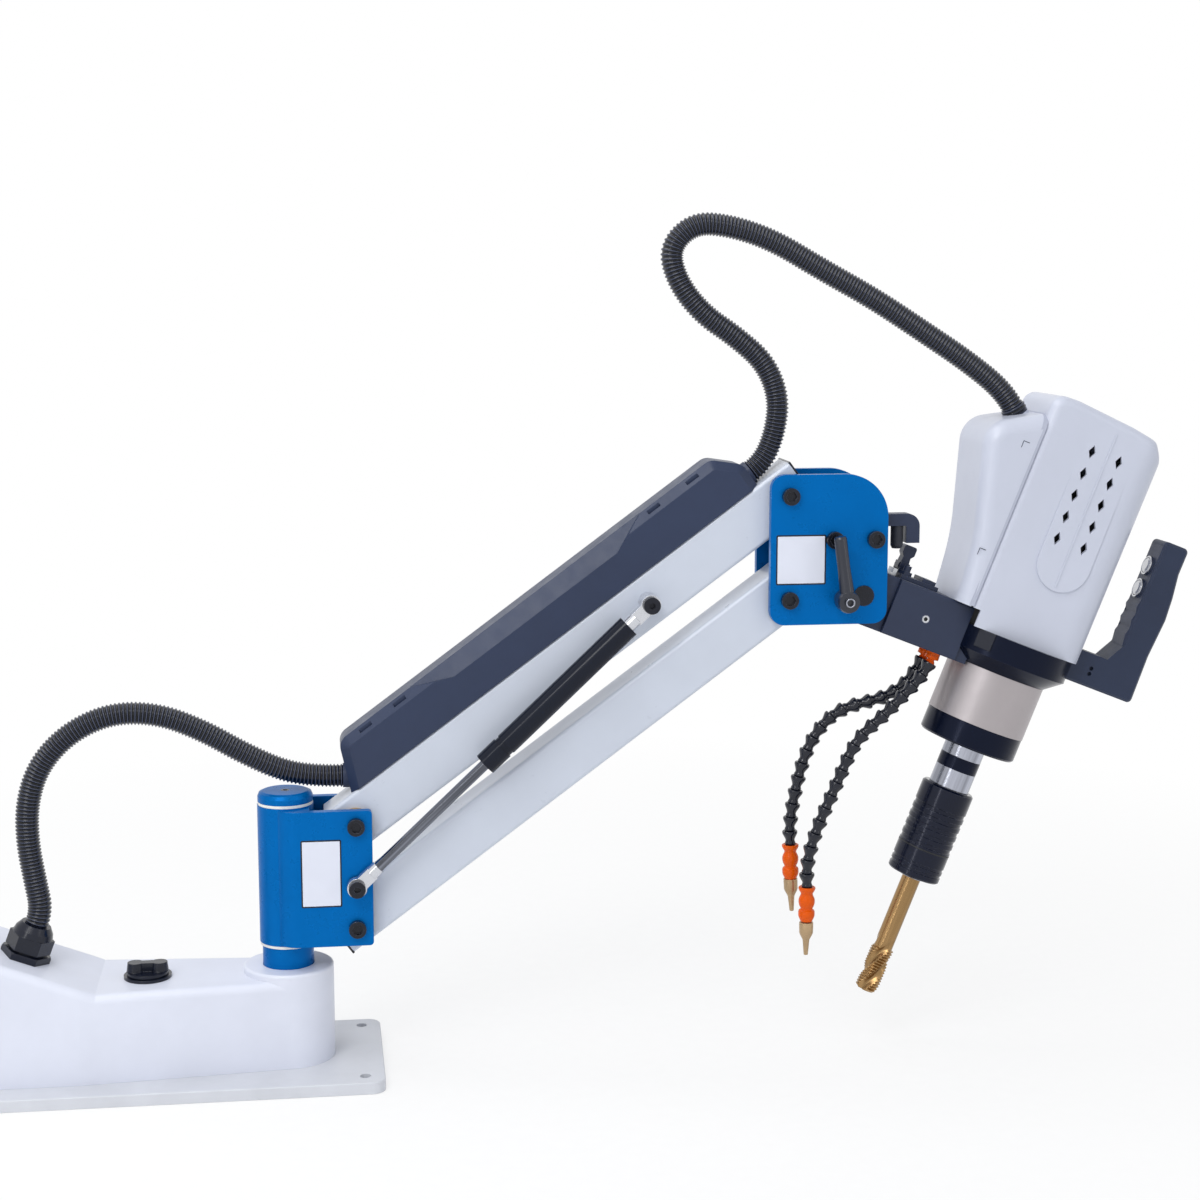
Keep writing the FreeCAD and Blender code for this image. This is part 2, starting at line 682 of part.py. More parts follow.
knob_at = (-dim.knob_place, -dim.knob_side)
top = dim.housing_top
knob_base = top + dim.knob_flange + dim.knob_gap
knob_bore = dim.knob_spindle_radius + dim.running_gap
half_body = dim.knob_body / 2
keep(
    "switch_flange",
    cut(
        fuse(
            rod("z", dim.knob_flange_radius, top, top + dim.knob_flange, knob_at),
            rod("z", dim.knob_bush_radius, top - wall - 1, top, knob_at),
            box((knob_at[0] - half_body, knob_at[0] + half_body),
                (knob_at[1] - half_body, knob_at[1] + half_body),
                (top - wall - dim.knob_body, top - wall)),
        ),
        rod("z", knob_bore, top - wall - 12, top + dim.knob_flange + 1, knob_at),
    ),
    ground,
)
wing_low = knob_base + dim.knob_skirt
wing_high = wing_low + dim.knob_wing
waist = dim.knob_wing_waist
reach = dim.knob_skirt_radius - dim.knob_wing_radius
keep(
    "switch_knob",
    group(fuse(
        rod("z", dim.knob_skirt_radius, knob_base, wing_low, knob_at),
        box((knob_at[0] - reach, knob_at[0] + reach), (knob_at[1] - waist, knob_at[1] + waist),
            (wing_low, wing_high)),
        taper("z", dim.knob_wing_radius, dim.knob_wing_radius - 1, wing_low, wing_high,
              (knob_at[0] - reach, knob_at[1])),
        taper("z", dim.knob_wing_radius, dim.knob_wing_radius - 1, wing_low, wing_high,
              (knob_at[0] + reach, knob_at[1])),
        rod("z", dim.knob_spindle_radius, top - wall - 10, knob_base, knob_at),
    )),
    ground,
)

# Post, washers, cap and screws

flange_top = floor + dim.post_flange
post_shoulder = dim.barrel_bottom - dim.washer
post_top = dim.barrel_top + dim.washer
post = Solid("post_body")
post.revolve([
    (0, floor), (dim.post_flange_radius, floor), (dim.post_flange_radius, flange_top),
    (dim.spigot_radius, flange_top), (dim.spigot_radius, post_shoulder),
    (dim.shaft_radius, post_shoulder), (dim.shaft_radius, post_top), (0, post_top),
])
post.pocket(
    "XY",
    post.circles("XY", [(x, y, dim.post_screw_radius) for x, y in flange_spots]),
    floor - 1, flange_top + 1,
)
post.pocket(
    "XY", post.circles("XY", [(0, 0, dim.cap_screw_radius)]), post_top - dim.cap_screw_length, post_top + 1,
)
keep("post", post.body, ground)

cap_top = post_top + dim.cap
screws = []
for spot in flange_spots:
    head_low = flange_top
    screws.append(cut(
        fuse(
            rod("z", dim.post_screw_head, head_low, head_low + dim.post_screw_radius * 2, spot),
            rod("z", dim.post_screw_radius, floor - dim.post_screw_grip + 14, head_low, spot),
        ),
        hexagon("z", dim.post_screw_radius * 1.5, head_low + 4, head_low + 10, spot),
    ))
sink_low = cap_top - dim.cap_screw_head + dim.cap_screw_radius
screws.append(cut(
    fuse(
        taper("z", dim.cap_screw_radius, dim.cap_screw_head, sink_low, cap_top),
        rod("z", dim.cap_screw_radius, post_top - dim.cap_screw_length + 3, sink_low),
    ),
    hexagon("z", dim.cap_socket, cap_top - dim.cap_socket_depth, cap_top + 1),
))
for spot in screw_spots:
    head_top = dim.foot_thickness / 2
    screws.append(fuse(
        rod("z", dim.screw_head_radius, 1, head_top, spot),
        rod("z", dim.screw_radius, head_top - 1, floor + dim.screw_post_height - 6, spot),
    ))
keep("base_screws", group(*screws), ground)

washer_bore = dim.shaft_radius + dim.clear_gap
keep(
    "thrust_washers",
    group(
        tube("z", dim.washer_radius, washer_bore, post_shoulder, dim.barrel_bottom),
        tube("z", dim.washer_radius, washer_bore, dim.barrel_top, post_top),
    ),
    ground,
)
cap = Solid("cap_body")
cap_curve = dim.cap_round * 0.3
cap.revolve([
    (dim.cap_screw_radius, post_top), (dim.cap_radius, post_top),
    (dim.cap_radius, cap_top - dim.cap_round), (dim.cap_radius - cap_curve, cap_top - cap_curve),
    (dim.cap_radius - dim.cap_round, cap_top), (dim.cap_screw_head, cap_top),
    (dim.cap_screw_radius, sink_low),
])
keep("barrel_cap", cap.body, ground)

# Yoke that turns on the post

outer = dim.plate_gap / 2 + dim.plate
inner = dim.plate_gap / 2
yoke_low, yoke_high = dim.barrel_bottom + dim.yoke_edge, dim.barrel_top - dim.yoke_edge
yoke = Solid("yoke_body")
yoke.pad(
    "XZ",
    yoke.outline("XZ", [(-dim.yoke_back, yoke_low), (dim.yoke_front, yoke_low),
                        (dim.yoke_front, yoke_high), (-dim.yoke_back, yoke_high)]),
    -outer, outer,
)
yoke.round_edges(dim.yoke_corner, runs_along("y", x=dim.yoke_front))
yoke.round_edges(dim.yoke_round, runs_along("z", x=-dim.yoke_back))
yoke.pocket(
    "XZ",
    yoke.outline("XZ", [(dim.cheek_front, yoke_low - 5), (dim.yoke_front + 5, yoke_low - 5),
                        (dim.yoke_front + 5, yoke_high + 5), (dim.cheek_front, yoke_high + 5)]),
    -inner, inner,
)
web_low, web_high = yoke_low + dim.web_inset, yoke_high - dim.web_inset
yoke.pad(
    "XZ",
    yoke.outline("XZ", [(dim.web_back, web_low), (dim.web_front, web_low),
                        (dim.web_front, web_high), (dim.web_back, web_high)]),
    -inner, inner,
)
yoke.pad("XY", yoke.circles("XY", [(0, 0, dim.barrel_radius)]), dim.barrel_bottom, dim.barrel_top)
yoke.pocket("XY", yoke.circles("XY", [(0, 0, dim.bush_radius)]), dim.barrel_bottom - 1, dim.barrel_top + 1)
pivot_low = dim.pivot_up - dim.pivot_spacing
gas_level = dim.pivot_up - dim.gas_drop
yoke.pocket(
    "XZ",
    yoke.circles("XZ", [(dim.pivot_out, dim.pivot_up, dim.bolt_radius),
                        (dim.pivot_out, pivot_low, dim.bolt_radius)]),
    -outer - 1, outer + 1,
)
yoke.pocket(
    "XZ", yoke.circles("XZ", [(dim.pivot_out, gas_level, dim.stud_radius)]), -outer - 1, -inner,
)
keep("yoke", yoke.body, ground)

bush_bore = dim.shaft_radius + dim.running_gap
keep(
    "barrel_bushes",
    group(
        tube("z", dim.bush_radius, bush_bore, dim.barrel_bottom, dim.barrel_bottom + dim.bush_length),
        tube("z", dim.bush_radius, bush_bore, dim.barrel_top - dim.bush_length, dim.barrel_top),
    ),
    ground,
)


def pivot_bolt(at):
    """A low-head socket screw through both plates, with its nut on the far side."""
    screw = cut(
        fuse(
            rod("y", dim.bolt_head_radius, -outer - dim.bolt_head, -outer, at),
            rod("y", dim.bolt_radius, -outer, outer + dim.nut + 2, at),
        ),
        hexagon("y", dim.bolt_socket, -outer - dim.bolt_head - 1,
                -outer - dim.bolt_head + dim.bolt_socket_depth, at),
    )
    nut = cut(
        hexagon("y", dim.nut_flats, outer, outer + dim.nut, at),
        rod("y", dim.bolt_radius, outer - 1, outer + dim.nut + 1, at),
    )
    return [screw, nut]


upper_pivot = (dim.pivot_out, dim.pivot_up)
lower_pivot = (dim.pivot_out, pivot_low)
keep("yoke_pivot_bolts", group(*pivot_bolt(upper_pivot), *pivot_bolt(lower_pivot)), ground)


gas_side = outer + dim.stud_collar + dim.clear_gap + dim.eye_width / 2


def gas_stud(root, shoulder):
    """The stud an eye of the gas spring turns on, out from a wall at root."""
    eye_face = -gas_side + dim.eye_width / 2
    head_face = -gas_side - dim.eye_width / 2 - dim.clear_gap
    return cut(
        fuse(
            rod("y", dim.stud_head_radius, head_face - dim.stud_head, head_face),
            rod("y", dim.stud_radius, head_face, root),
            rod("y", dim.gas_boss_radius, eye_face + dim.clear_gap, shoulder),
        ),
        hexagon("y", dim.stud_radius * 1.2, head_face - dim.stud_head - 1, head_face - dim.stud_head / 3),
    )


gas_foot = Frame(dim.pivot_out, gas_level, 0)
keep("gas_stud_lower", gas_stud(-inner, -outer), gas_foot)

# Parallel arms

arm_half, arm_deep = dim.arm_width / 2, dim.arm_depth / 2
over = dim.arm_overhang
end = dim.arm_length + over
eye_bore = dim.bolt_radius + dim.running_gap
upper_frame = Frame(dim.pivot_out, dim.pivot_up, dim.arm_angle)
lower_frame = Frame(dim.pivot_out, pivot_low, dim.arm_angle)


def arm(name, frame, rise, stud):
    """A square tube with its end plugs and flanged pivot bushes."""
    low, high = rise - arm_deep, rise + arm_deep
    inner_low, inner_high = low + dim.arm_wall, high - dim.arm_wall
    inner_side = arm_half - dim.arm_wall
    beam = Solid(f"{name}_body")
    beam.pad(
        "YZ",
        beam.outline("YZ", [(-arm_half, low), (arm_half, low), (arm_half, high), (-arm_half, high)]),
        -over, end,
    )
    beam.round_edges(dim.arm_corner, runs_along("x"))
    beam.pocket(
        "YZ",
        beam.outline("YZ", [(-inner_side, inner_low), (inner_side, inner_low),
                            (inner_side, inner_high), (-inner_side, inner_high)]),
        -over - 1, end + 1,
    )
    beam.pocket(
        "XZ",
        beam.circles("XZ", [(0, 0, dim.arm_bush_radius), (dim.arm_length, 0, dim.arm_bush_radius)]),
        -arm_half - 1, arm_half + 1,
    )
    if stud:
        beam.pocket(
            "XZ", beam.circles("XZ", [(dim.gas_reach, 0, dim.stud_radius)]),
            -arm_half - 1, -arm_half + dim.arm_wall + 1,
        )
    keep(f"{name}_beam", beam.body, frame)
    plugs = []
    for face, way in ((-over, -1), (end, 1)):
        lip = sorted((face, face + way * dim.plug), key=lambda size: as_size(size).value)
        stem = sorted((face, face - way * dim.plug_insert), key=lambda size: as_size(size).value)
        plugs.append(fuse(
            box(lip, (-arm_half, arm_half), (low, high)),
            box(stem, (-inner_side, inner_side), (inner_low, inner_high)),
        ))
    keep(f"{name}_plugs", group(*plugs), frame)
    reach = inner - dim.clear_gap
    bushes = []
    for out in (0, dim.arm_length):
        at = (out, 0)
        bushes.append(cut(
            fuse(
                rod("y", dim.arm_bush_radius, -reach, reach, at),
                rod("y", dim.arm_flange_radius, -reach, -arm_half, at),
                rod("y", dim.arm_flange_radius, arm_half, reach, at),
            ),
            rod("y", eye_bore, -reach - 1, reach + 1, at),
        ))
    keep(f"{name}_bushes", group(*bushes), frame)


arm("upper_arm", upper_frame, as_size(0), True)
arm("lower_arm", lower_frame, dim.lower_arm_rise, False)

cover = Solid("cover_body")
seat_level = arm_deep
cover_top = seat_level + dim.cover_height
cover_side = dim.cover_half_width
slant = dim.cover_slant
shoulder = dim.cover_shoulder
cover.pad(
    "XZ",
    cover.outline("XZ", [
        (dim.cover_start, seat_level), (dim.cover_end, seat_level),
        (dim.cover_end, cover_top - shoulder), (dim.cover_end - shoulder, cover_top),
        (dim.cover_start + slant, cover_top),
    ]),
    -cover_side, cover_side,
)
cover.round_edges(dim.cover_round, any_of(
    runs_along("y", x=dim.cover_start + slant), runs_along("y", x=dim.cover_end - shoulder),
    runs_along("y", x=dim.cover_end, z=cover_top - shoulder),
))
cover_roof = SIZES["arm_depth"] / 2 + 1
bevel = dim.cover_bevel
cover.bevel_edges(
    bevel, lambda edge: edge.BoundBox.YLength < 0.01 and edge.BoundBox.ZMax > cover_roof,
)
skin = dim.cover_wall
rim = bevel + skin
low_ceiling = cover_top - dim.scoop_drop - skin
cover.pocket(
    "XZ",
    cover.outline("XZ", [
        (dim.cover_start + rim, seat_level - 1), (dim.cover_end - rim, seat_level - 1),
        (dim.cover_end - rim, cover_top - shoulder - 8), (dim.cover_end - shoulder - 8, low_ceiling),
        (dim.cover_start + slant + rim, low_ceiling),
    ]),
    -cover_side + skin, cover_side - skin,
)
cover.pocket(
    "XZ",
    cover.outline("XZ", [
        (dim.cover_start + skin * 2, seat_level - 1), (dim.cover_end - skin, seat_level - 1),
        (dim.cover_end - skin, cover_top - shoulder - 4), (dim.cover_end - shoulder - 4, cover_top - skin),
        (dim.cover_start + slant + 9, cover_top - skin), (dim.cover_start + slant - 4, cover_top - 12),
    ]),
    -cover_side + dim.scoop_depth + skin, cover_side - rim,
)
slot_middle = -cover_side + dim.cover_slot_edge
slots = [
    box((along, along + dim.cover_slot),
        (slot_middle - dim.cover_slot_width / 2, slot_middle + dim.cover_slot_width / 2),
        (cover_top - dim.cover_slot_depth, cover_top + 3))
    for along in (60, 103, dim.cover_end - 107, dim.cover_end - 58)
]
scoop = document.addObject("Part::Wedge", "scoop")
for name, size in {
    "Xmin": dim.scoop_start + dim.scoop_run, "Xmax": dim.scoop_end - dim.scoop_run,
    "X2min": dim.scoop_start - 6, "X2max": dim.scoop_end + 6,
    "Ymin": cover_top - dim.scoop_drop, "Ymax": cover_top + 2,
    "Zmin": dim.scoop_depth - 0.2, "Zmax": dim.scoop_depth + 3,
    "Z2min": 0, "Z2max": dim.scoop_depth + 3,
}.items():
    bind(scoop, name, size)
scoop.Placement = Placement(Vector(0, 0, 0), Rotation(Vector(1, 0, 0), 90))
bind(scoop, "Placement.Base.y", -cover_side + dim.scoop_depth)


def port(at, turn, proud, inside):
    """A round stub whose outer face the end of a conduit meets."""
    stub = rod("z", dim.port_radius, -as_size(inside), proud)
    holder = group(stub)
    holder.Placement = Placement(
        Vector(as_size(at[0]).value, 0, as_size(at[1]).value), Rotation(Vector(0, 1, 0), turn.value)
    )
    bind(holder, "Placement.Base.x", at[0])
    bind(holder, "Placement.Base.z", at[1])
    bind(holder, "Placement.Rotation.Angle", turn)
    return holder


lower_port = (dim.cover_start + slant * (dim.port_level - seat_level) / dim.cover_height, dim.port_level + 2)
upper_port = (dim.cover_end, dim.port_level)
lower_port_turn = dim.arm_angle - 90
upper_port_turn = as_size(90)
keep(
    "arm_cover",
    cut(
        fuse(
            cut(cover.body, scoop, *slots),
            port(lower_port, lower_port_turn, dim.port_proud, dim.port_inside),
            port(upper_port, upper_port_turn, dim.port_proud, dim.port_inside),
        ),
        box((-over, end), (-cover_side - 1, cover_side + 1), (0, seat_level)),
    ),
    upper_frame,
)
stud_foot = Frame(*upper_frame.point(dim.gas_reach, as_size(0)), dim.arm_angle)
keep("gas_stud_upper", gas_stud(-arm_half + dim.arm_wall, -arm_half), stud_foot)

# Gas spring, drawn along its own line from the yoke stud to the arm stud

gas_run = stud_foot.out - gas_foot.out
gas_rise = stud_foot.up - gas_foot.up
gas_length = length_of(gas_run, gas_rise)
gas_frame = Frame(gas_foot.out, gas_foot.up, slope_of(gas_run, gas_rise))
line = (-gas_side, 0)
near_face = -gas_side - dim.eye_width / 2
far_face = -gas_side + dim.eye_width / 2
eye_heights = (-dim.eye_half_height, dim.eye_half_height)
stud_bore = dim.stud_radius + dim.running_gap
rod_end = dim.gas_collar_start + dim.rod_inside
keep(
    "gas_spring_rod",
    cut(
        fuse(
            rod("y", dim.eye_radius, near_face, far_face),
            box((dim.stud_radius + 1, dim.eye_length), (near_face, far_face), eye_heights),
            rod("x", dim.rod_neck_radius, dim.eye_length - 2, dim.rod_neck, line),
            rod("x", dim.rod_radius, dim.rod_neck, rod_end, line),
            rod("x", dim.piston_radius, rod_end - dim.piston, rod_end, line),
        ),
        rod("y", stud_bore, near_face - 1, far_face + 1),
    ),
    gas_frame,
)
groove_start = dim.gas_collar_start + dim.gas_collar
groove_end = groove_start + dim.gas_groove
tube_end = gas_length - dim.gas_tube_back
top_eye = (gas_length, 0)
keep(
    "gas_spring_cylinder",
    cut(
        fuse(
            rod("x", dim.gas_tube_radius, dim.gas_collar_start, groove_start, line),
            rod("x", dim.gas_groove_radius, groove_start, groove_end, line),
            rod("x", dim.gas_tube_radius - dim.gas_tube_step, groove_end, tube_end, line),
            rod("x", dim.rod_neck_radius, tube_end, gas_length - dim.eye_length + 2, line),
            box((gas_length - dim.eye_length, gas_length - dim.stud_radius - 1), (near_face, far_face),
                eye_heights),
            rod("y", dim.eye_radius, near_face, far_face, top_eye),
        ),
        rod("x", dim.gas_mouth_radius, dim.gas_collar_start - 1, dim.gas_collar_start + 5, line),
        rod("x", dim.gas_bore_radius, dim.gas_collar_start + 4, tube_end - 8, line),
        rod("y", stud_bore, near_face - 1, far_face + 1, top_eye),
    ),
    gas_frame,
)

# Head plates and what is clamped between them

head_frame = Frame(*upper_frame.point(dim.arm_length, as_size(0)), as_size(0))
tie_front = (dim.tie_out, -dim.tie_drop)
tie_rear = (dim.tie_in, -dim.tie_drop)
tilt_at = (dim.tilt_out, -dim.tilt_drop)
clamp_at = (dim.tilt_out - dim.clamp_back, -dim.tilt_drop - dim.clamp_drop)


def head_plate(name, low, high):
    solid = Solid(name)
    solid.pad(
        "XZ",
        solid.outline("XZ", [(-dim.head_back, -dim.head_bottom), (dim.head_front, -dim.head_bottom),
                             (dim.head_front, dim.head_top), (-dim.head_back, dim.head_top)]),
        low, high,
    )
    solid.round_edges(dim.head_arc, runs_along("y", x=dim.head_front, z=dim.head_top))
    solid.round_edges(dim.head_corner, any_of(
        runs_along("y", x=-dim.head_back), runs_along("y", x=dim.head_front, z=-dim.head_bottom),
    ))
    holes = [(*at, dim.bolt_radius) for at in ((0, 0), (0, -dim.pivot_spacing), tie_front, tie_rear)]
    holes.append((*tilt_at, dim.tilt_pin_radius))
    holes.append((*clamp_at, dim.clamp_stud_radius))
    solid.pocket("XZ", solid.circles("XZ", holes), low - 1, high + 1)
    return solid.body


keep("head_plates", group(head_plate("near_plate", -outer, -inner), head_plate("far_plate", inner, outer)),
     head_frame)
head_bolts = []
for at in ((0, 0), (0, -dim.pivot_spacing), tie_front, tie_rear):
    head_bolts.extend(pivot_bolt(at))
keep("head_bolts", group(*head_bolts), head_frame)
keep(
    "head_spacers",
    group(*[
        tube_piece
        for at in (tie_front, tie_rear)
        for tube_piece in (
            cut(rod("y", dim.spacer_radius, -inner, -dim.keeper_width, at),
                rod("y", dim.bolt_radius, -inner - 1, 1, at)),
            cut(rod("y", dim.spacer_radius, 0, inner, at),
                rod("y", dim.bolt_radius, -1, inner + 1, at)),
        )
    ]),
    head_frame,
)

keeper = Solid("keeper_body")
bar_low = -dim.keeper_top - dim.keeper_bar
leg = dim.keeper_tip - dim.keeper_leg
keeper.pad(
    "XZ",
    keeper.outline("XZ", [
        (dim.keeper_back, -dim.keeper_pad_bottom), (dim.keeper_back, -dim.keeper_top),
        (dim.keeper_tip, -dim.keeper_top), (dim.keeper_tip, -dim.keeper_drop),
        (leg, -dim.keeper_drop), (leg, bar_low), (dim.tie_out + 15, bar_low),
        (dim.tie_out + 15, -dim.keeper_pad_bottom),
    ]),
    -dim.keeper_width, 0,
)
keeper.round_edges(dim.keeper_round, runs_along("y", x=dim.keeper_tip, z=-dim.keeper_top))
keeper.bevel_edges(6, runs_along("y", x=dim.keeper_back))
keeper.pocket(
    "XZ", keeper.circles("XZ", [(*tie_front, dim.bolt_radius), (*tie_rear, dim.bolt_radius)]),
    -dim.keeper_width - 1, 1,
)
keep("keeper_hook", keeper.body, head_frame)

stop_height = dim.block_half_height + dim.latch_thick + dim.stop_screw
bumper_low = stop_height + dim.stop_gap - dim.tilt_drop
bumper_at = (dim.bumper_out, -dim.bumper_offset)
keep(
    "stop_bumper",
    fuse(
        rod("z", dim.bumper_radius, bumper_low + 3, bar_low, bumper_at),
        taper("z", dim.bumper_radius - 1.5, dim.bumper_radius, bumper_low, bumper_low + 3, bumper_at),
    ),
    head_frame,
)
keep(
    "tilt_pin",
    group(rod("y", dim.tilt_pin_radius, -outer - dim.tilt_pin_proud, outer + dim.tilt_pin_proud, tilt_at)),
    head_frame,
)
clamp_foot = Frame(head_frame.out + clamp_at[0], head_frame.up + clamp_at[1], 0)
hub_face = -outer - dim.clear_gap
keep(
    "clamp_stud",
    fuse(
        rod("y", dim.clamp_stud_radius, hub_face - dim.clamp_hub + 4, outer + dim.nut),
        hexagon("y", dim.clamp_stud_radius * 3.2, outer, outer + dim.nut - 1),
    ),
    clamp_foot,
)
hub_end = hub_face - dim.clamp_hub
lever_side = hub_face - dim.clamp_hub + dim.clamp_arm_radius + 1
arm_turn = dim.clamp_arm / 2
arm_tip = dim.clamp_arm - dim.clamp_tip
lever_arm = fuse(
    taper("z", dim.clamp_root_radius, dim.clamp_arm_radius, 0, arm_turn, (0, lever_side)),
    rod("z", dim.clamp_arm_radius, arm_turn, arm_tip, (0, lever_side)),
    taper("z", dim.clamp_arm_radius, dim.clamp_arm_radius - 1, arm_tip, dim.clamp_arm, (0, lever_side)),
)
leaning = group(lever_arm)
leaning.Placement = Placement(Vector(0, 0, 0), Rotation(Vector(0, -1, 0), dim.clamp_lean.value))
bind(leaning, "Placement.Rotation.Angle", dim.clamp_lean)
clamp_bore = dim.clamp_stud_radius + dim.running_gap
keep(
    "clamp_lever",
    cut(
        fuse(
            taper("y", dim.clamp_hub_radius - 1, dim.clamp_hub_radius, hub_end, hub_end + 4),
            rod("y", dim.clamp_hub_radius, hub_end + 4, hub_face - 12),
            taper("y", dim.clamp_hub_radius, dim.clamp_hub_radius - 2.5, hub_face - 12, hub_face),
            rod("y", dim.clamp_screw_radius, hub_end - 3, hub_end),
            leaning,
        ),
        rod("y", clamp_bore, hub_end + 3, hub_face + 1),
        hexagon("y", dim.clamp_screw_radius, hub_end - 4, hub_end),
    ),
    clamp_foot,
)

# Tilt block, drawn from the tilt pin with its own +X along the block

tilt_frame = Frame(head_frame.out + dim.tilt_out, head_frame.up - dim.tilt_drop, -dim.tilt_rest)
high = dim.block_half_height
reach = inner - dim.clear_gap
block = Solid("tilt_body")
block.pad(
    "XZ",
    block.outline("XZ", [(0, -high), (dim.block_seam, -high), (dim.block_seam, high), (0, high)]),
    -reach, reach,
)
block.pad("XZ", block.circles("XZ", [(0, 0, dim.hub_round)]), -reach, reach)
spigot_end = dim.block_seam + dim.swivel_length
block.pad("YZ", block.circles("YZ", [(0, 0, dim.swivel_radius)]), 0, spigot_end)
groove_low = dim.set_screw_place - dim.groove_half
groove_high = dim.set_screw_place + dim.groove_half
ring_cut = tube("x", dim.swivel_radius + 1, dim.swivel_radius - dim.groove_depth, groove_low, groove_high)
pin_bore = dim.tilt_pin_radius + dim.running_gap
stud_radius_out = length_of(dim.clamp_back, dim.clamp_drop)
upright_turn = slope_of(dim.clamp_back, dim.clamp_drop) + 180
slot_start = upright_turn - dim.slot_spare
slot_end = upright_turn + dim.tilt_rest + dim.tilt_down + dim.slot_spare
slot_outer = stud_radius_out + dim.slot_radius
slot_inner = stud_radius_out - dim.slot_radius
sector = document.addObject("Part::Cylinder", "sector")
bind(sector, "Radius", slot_outer)
bind(sector, "Height", dim.plate_gap + 4)
bind(sector, "Angle", slot_end - slot_start)
seat(sector, "y", -inner - 2, (0, 0))
core = rod("y", slot_inner, -inner - 3, inner + 3)
arc = group(cut(sector, core))
arc.Placement = Placement(Vector(0, 0, 0), Rotation(Vector(0, -1, 0), slot_end.value))
bind(arc, "Placement.Rotation.Angle", slot_end)
slot_ends = [
    rod("y", dim.slot_radius, -inner - 2, inner + 2,
        (stud_radius_out * cosine(turn), stud_radius_out * sine(turn)))
    for turn in (slot_start, slot_end)
]
keep(
    "tilt_block",
    cut(block.body, rod("y", pin_bore, -inner - 2, inner + 2), arc, *slot_ends, ring_cut),
    tilt_frame,
)
keep(
    "latch_strike",
    fuse(
        box((dim.block_seam - 14, dim.block_seam - 0.5), (-9, 9), (high, high + 2.5)),
        box((dim.block_seam - 5, dim.block_seam - 0.5), (-9, 9), (high, high + 7.5)),
    ),
    tilt_frame,
)

# Spindle unit, drawn about the spindle axis

spindle_frame = Frame(*tilt_frame.point(dim.spindle_out, as_size(0)), -dim.tilt_rest)


def turned(name, label, corners):
    solid = Solid(name)
    solid.revolve(corners)
    if label:
        keep(label, solid.body, spindle_frame)
    return solid


collar_profile = [
    (dim.ring_radius, dim.collar_bottom), (dim.collar_radius, dim.collar_bottom + dim.collar_cone),
    (dim.collar_radius, dim.collar_top),
]
turned("collar_body", "collar_ring", [(dim.gear_bore, dim.collar_bottom), *collar_profile,
                                      (dim.gear_bore, dim.collar_top)])
turned("gear_body", "gear_housing", [
    (dim.gear_bore, dim.ring_bottom), (dim.ring_radius, dim.ring_bottom),
    (dim.ring_radius, dim.collar_bottom), (dim.gear_bore, dim.collar_bottom),
])
nose_bore = dim.nose_radius + dim.running_gap
cap_edge = dim.lower_ring_round
turned("ring_body", "lower_ring", [
    (nose_bore, dim.lower_ring_bottom), (dim.lower_ring_radius - cap_edge, dim.lower_ring_bottom),
    (dim.lower_ring_radius, dim.lower_ring_bottom + cap_edge), (dim.lower_ring_radius, dim.ring_bottom),
    (nose_bore, dim.ring_bottom),
])
turned("gearbox_body", "reduction_gearbox", [
    (0, dim.ring_bottom + 4), (dim.gear_bore, dim.ring_bottom + 4), (dim.gear_bore, dim.collar_top),
    (0, dim.collar_top),
])
band_radius = dim.nose_radius - dim.nose_band_depth
nose_top = dim.ring_bottom - dim.clear_gap
shank_seat = dim.collet_bottom + dim.collet_seat
turned("nose_body", "spindle_nose", [
    (0, shank_seat), (dim.shank_radius, shank_seat),
    (dim.shank_radius, dim.collet_bottom), (dim.collet_radius - 1.5, dim.collet_bottom),
    (dim.collet_radius, dim.collet_bottom + 1.5), (dim.collet_radius, dim.nose_bottom),
    (dim.nose_radius, dim.nose_bottom), (dim.nose_radius, dim.nose_band_bottom),
    (band_radius, dim.nose_band_bottom), (band_radius, dim.nose_band_top),
    (dim.nose_radius, dim.nose_band_top), (dim.nose_radius, nose_top), (0, nose_top),
])
turned("band_body", "nose_band", [
    (band_radius, dim.nose_band_bottom), (dim.nose_radius, dim.nose_band_bottom),
    (dim.nose_radius, dim.nose_band_top), (band_radius, dim.nose_band_top),
])

sleeve_top = dim.nose_bottom - dim.clear_gap
sleeve_bore = dim.collet_radius + dim.running_gap
outer_wall = dim.sleeve_radius
sleeve_line = [
    (sleeve_bore, sleeve_top), (outer_wall - dim.sleeve_round, sleeve_top),
    (outer_wall, sleeve_top - dim.sleeve_round),
]


def ring_groove(level, width, depth):
    """A shallow groove round the sleeve, from its upper edge down."""
    return [
        (outer_wall, level), (outer_wall - depth, level - width * 0.15),
        (outer_wall - depth, level - width * 0.85), (outer_wall, level - width),
    ]


for number in range(5):
    level = sleeve_top - dim.rib_first * 0.5 - dim.rib_pitch * number
    sleeve_line.extend(ring_groove(level, dim.rib_width, dim.rib_depth))
sleeve_line.extend(ring_groove(dim.sleeve_seam_level, as_size(1.4), as_size(1.2)))
for number in range(2):
    level = dim.sleeve_bottom + dim.rib_pitch * 1.7 - dim.rib_pitch * 0.7 * number
    sleeve_line.extend(ring_groove(level, dim.rib_width * 0.7, dim.rib_depth))
sleeve_line.extend([
    (outer_wall, dim.sleeve_bottom + 1.5), (outer_wall - 1.5, dim.sleeve_bottom),
    (sleeve_bore, dim.sleeve_bottom),
])
turned("sleeve_body", "chuck_sleeve", sleeve_line)

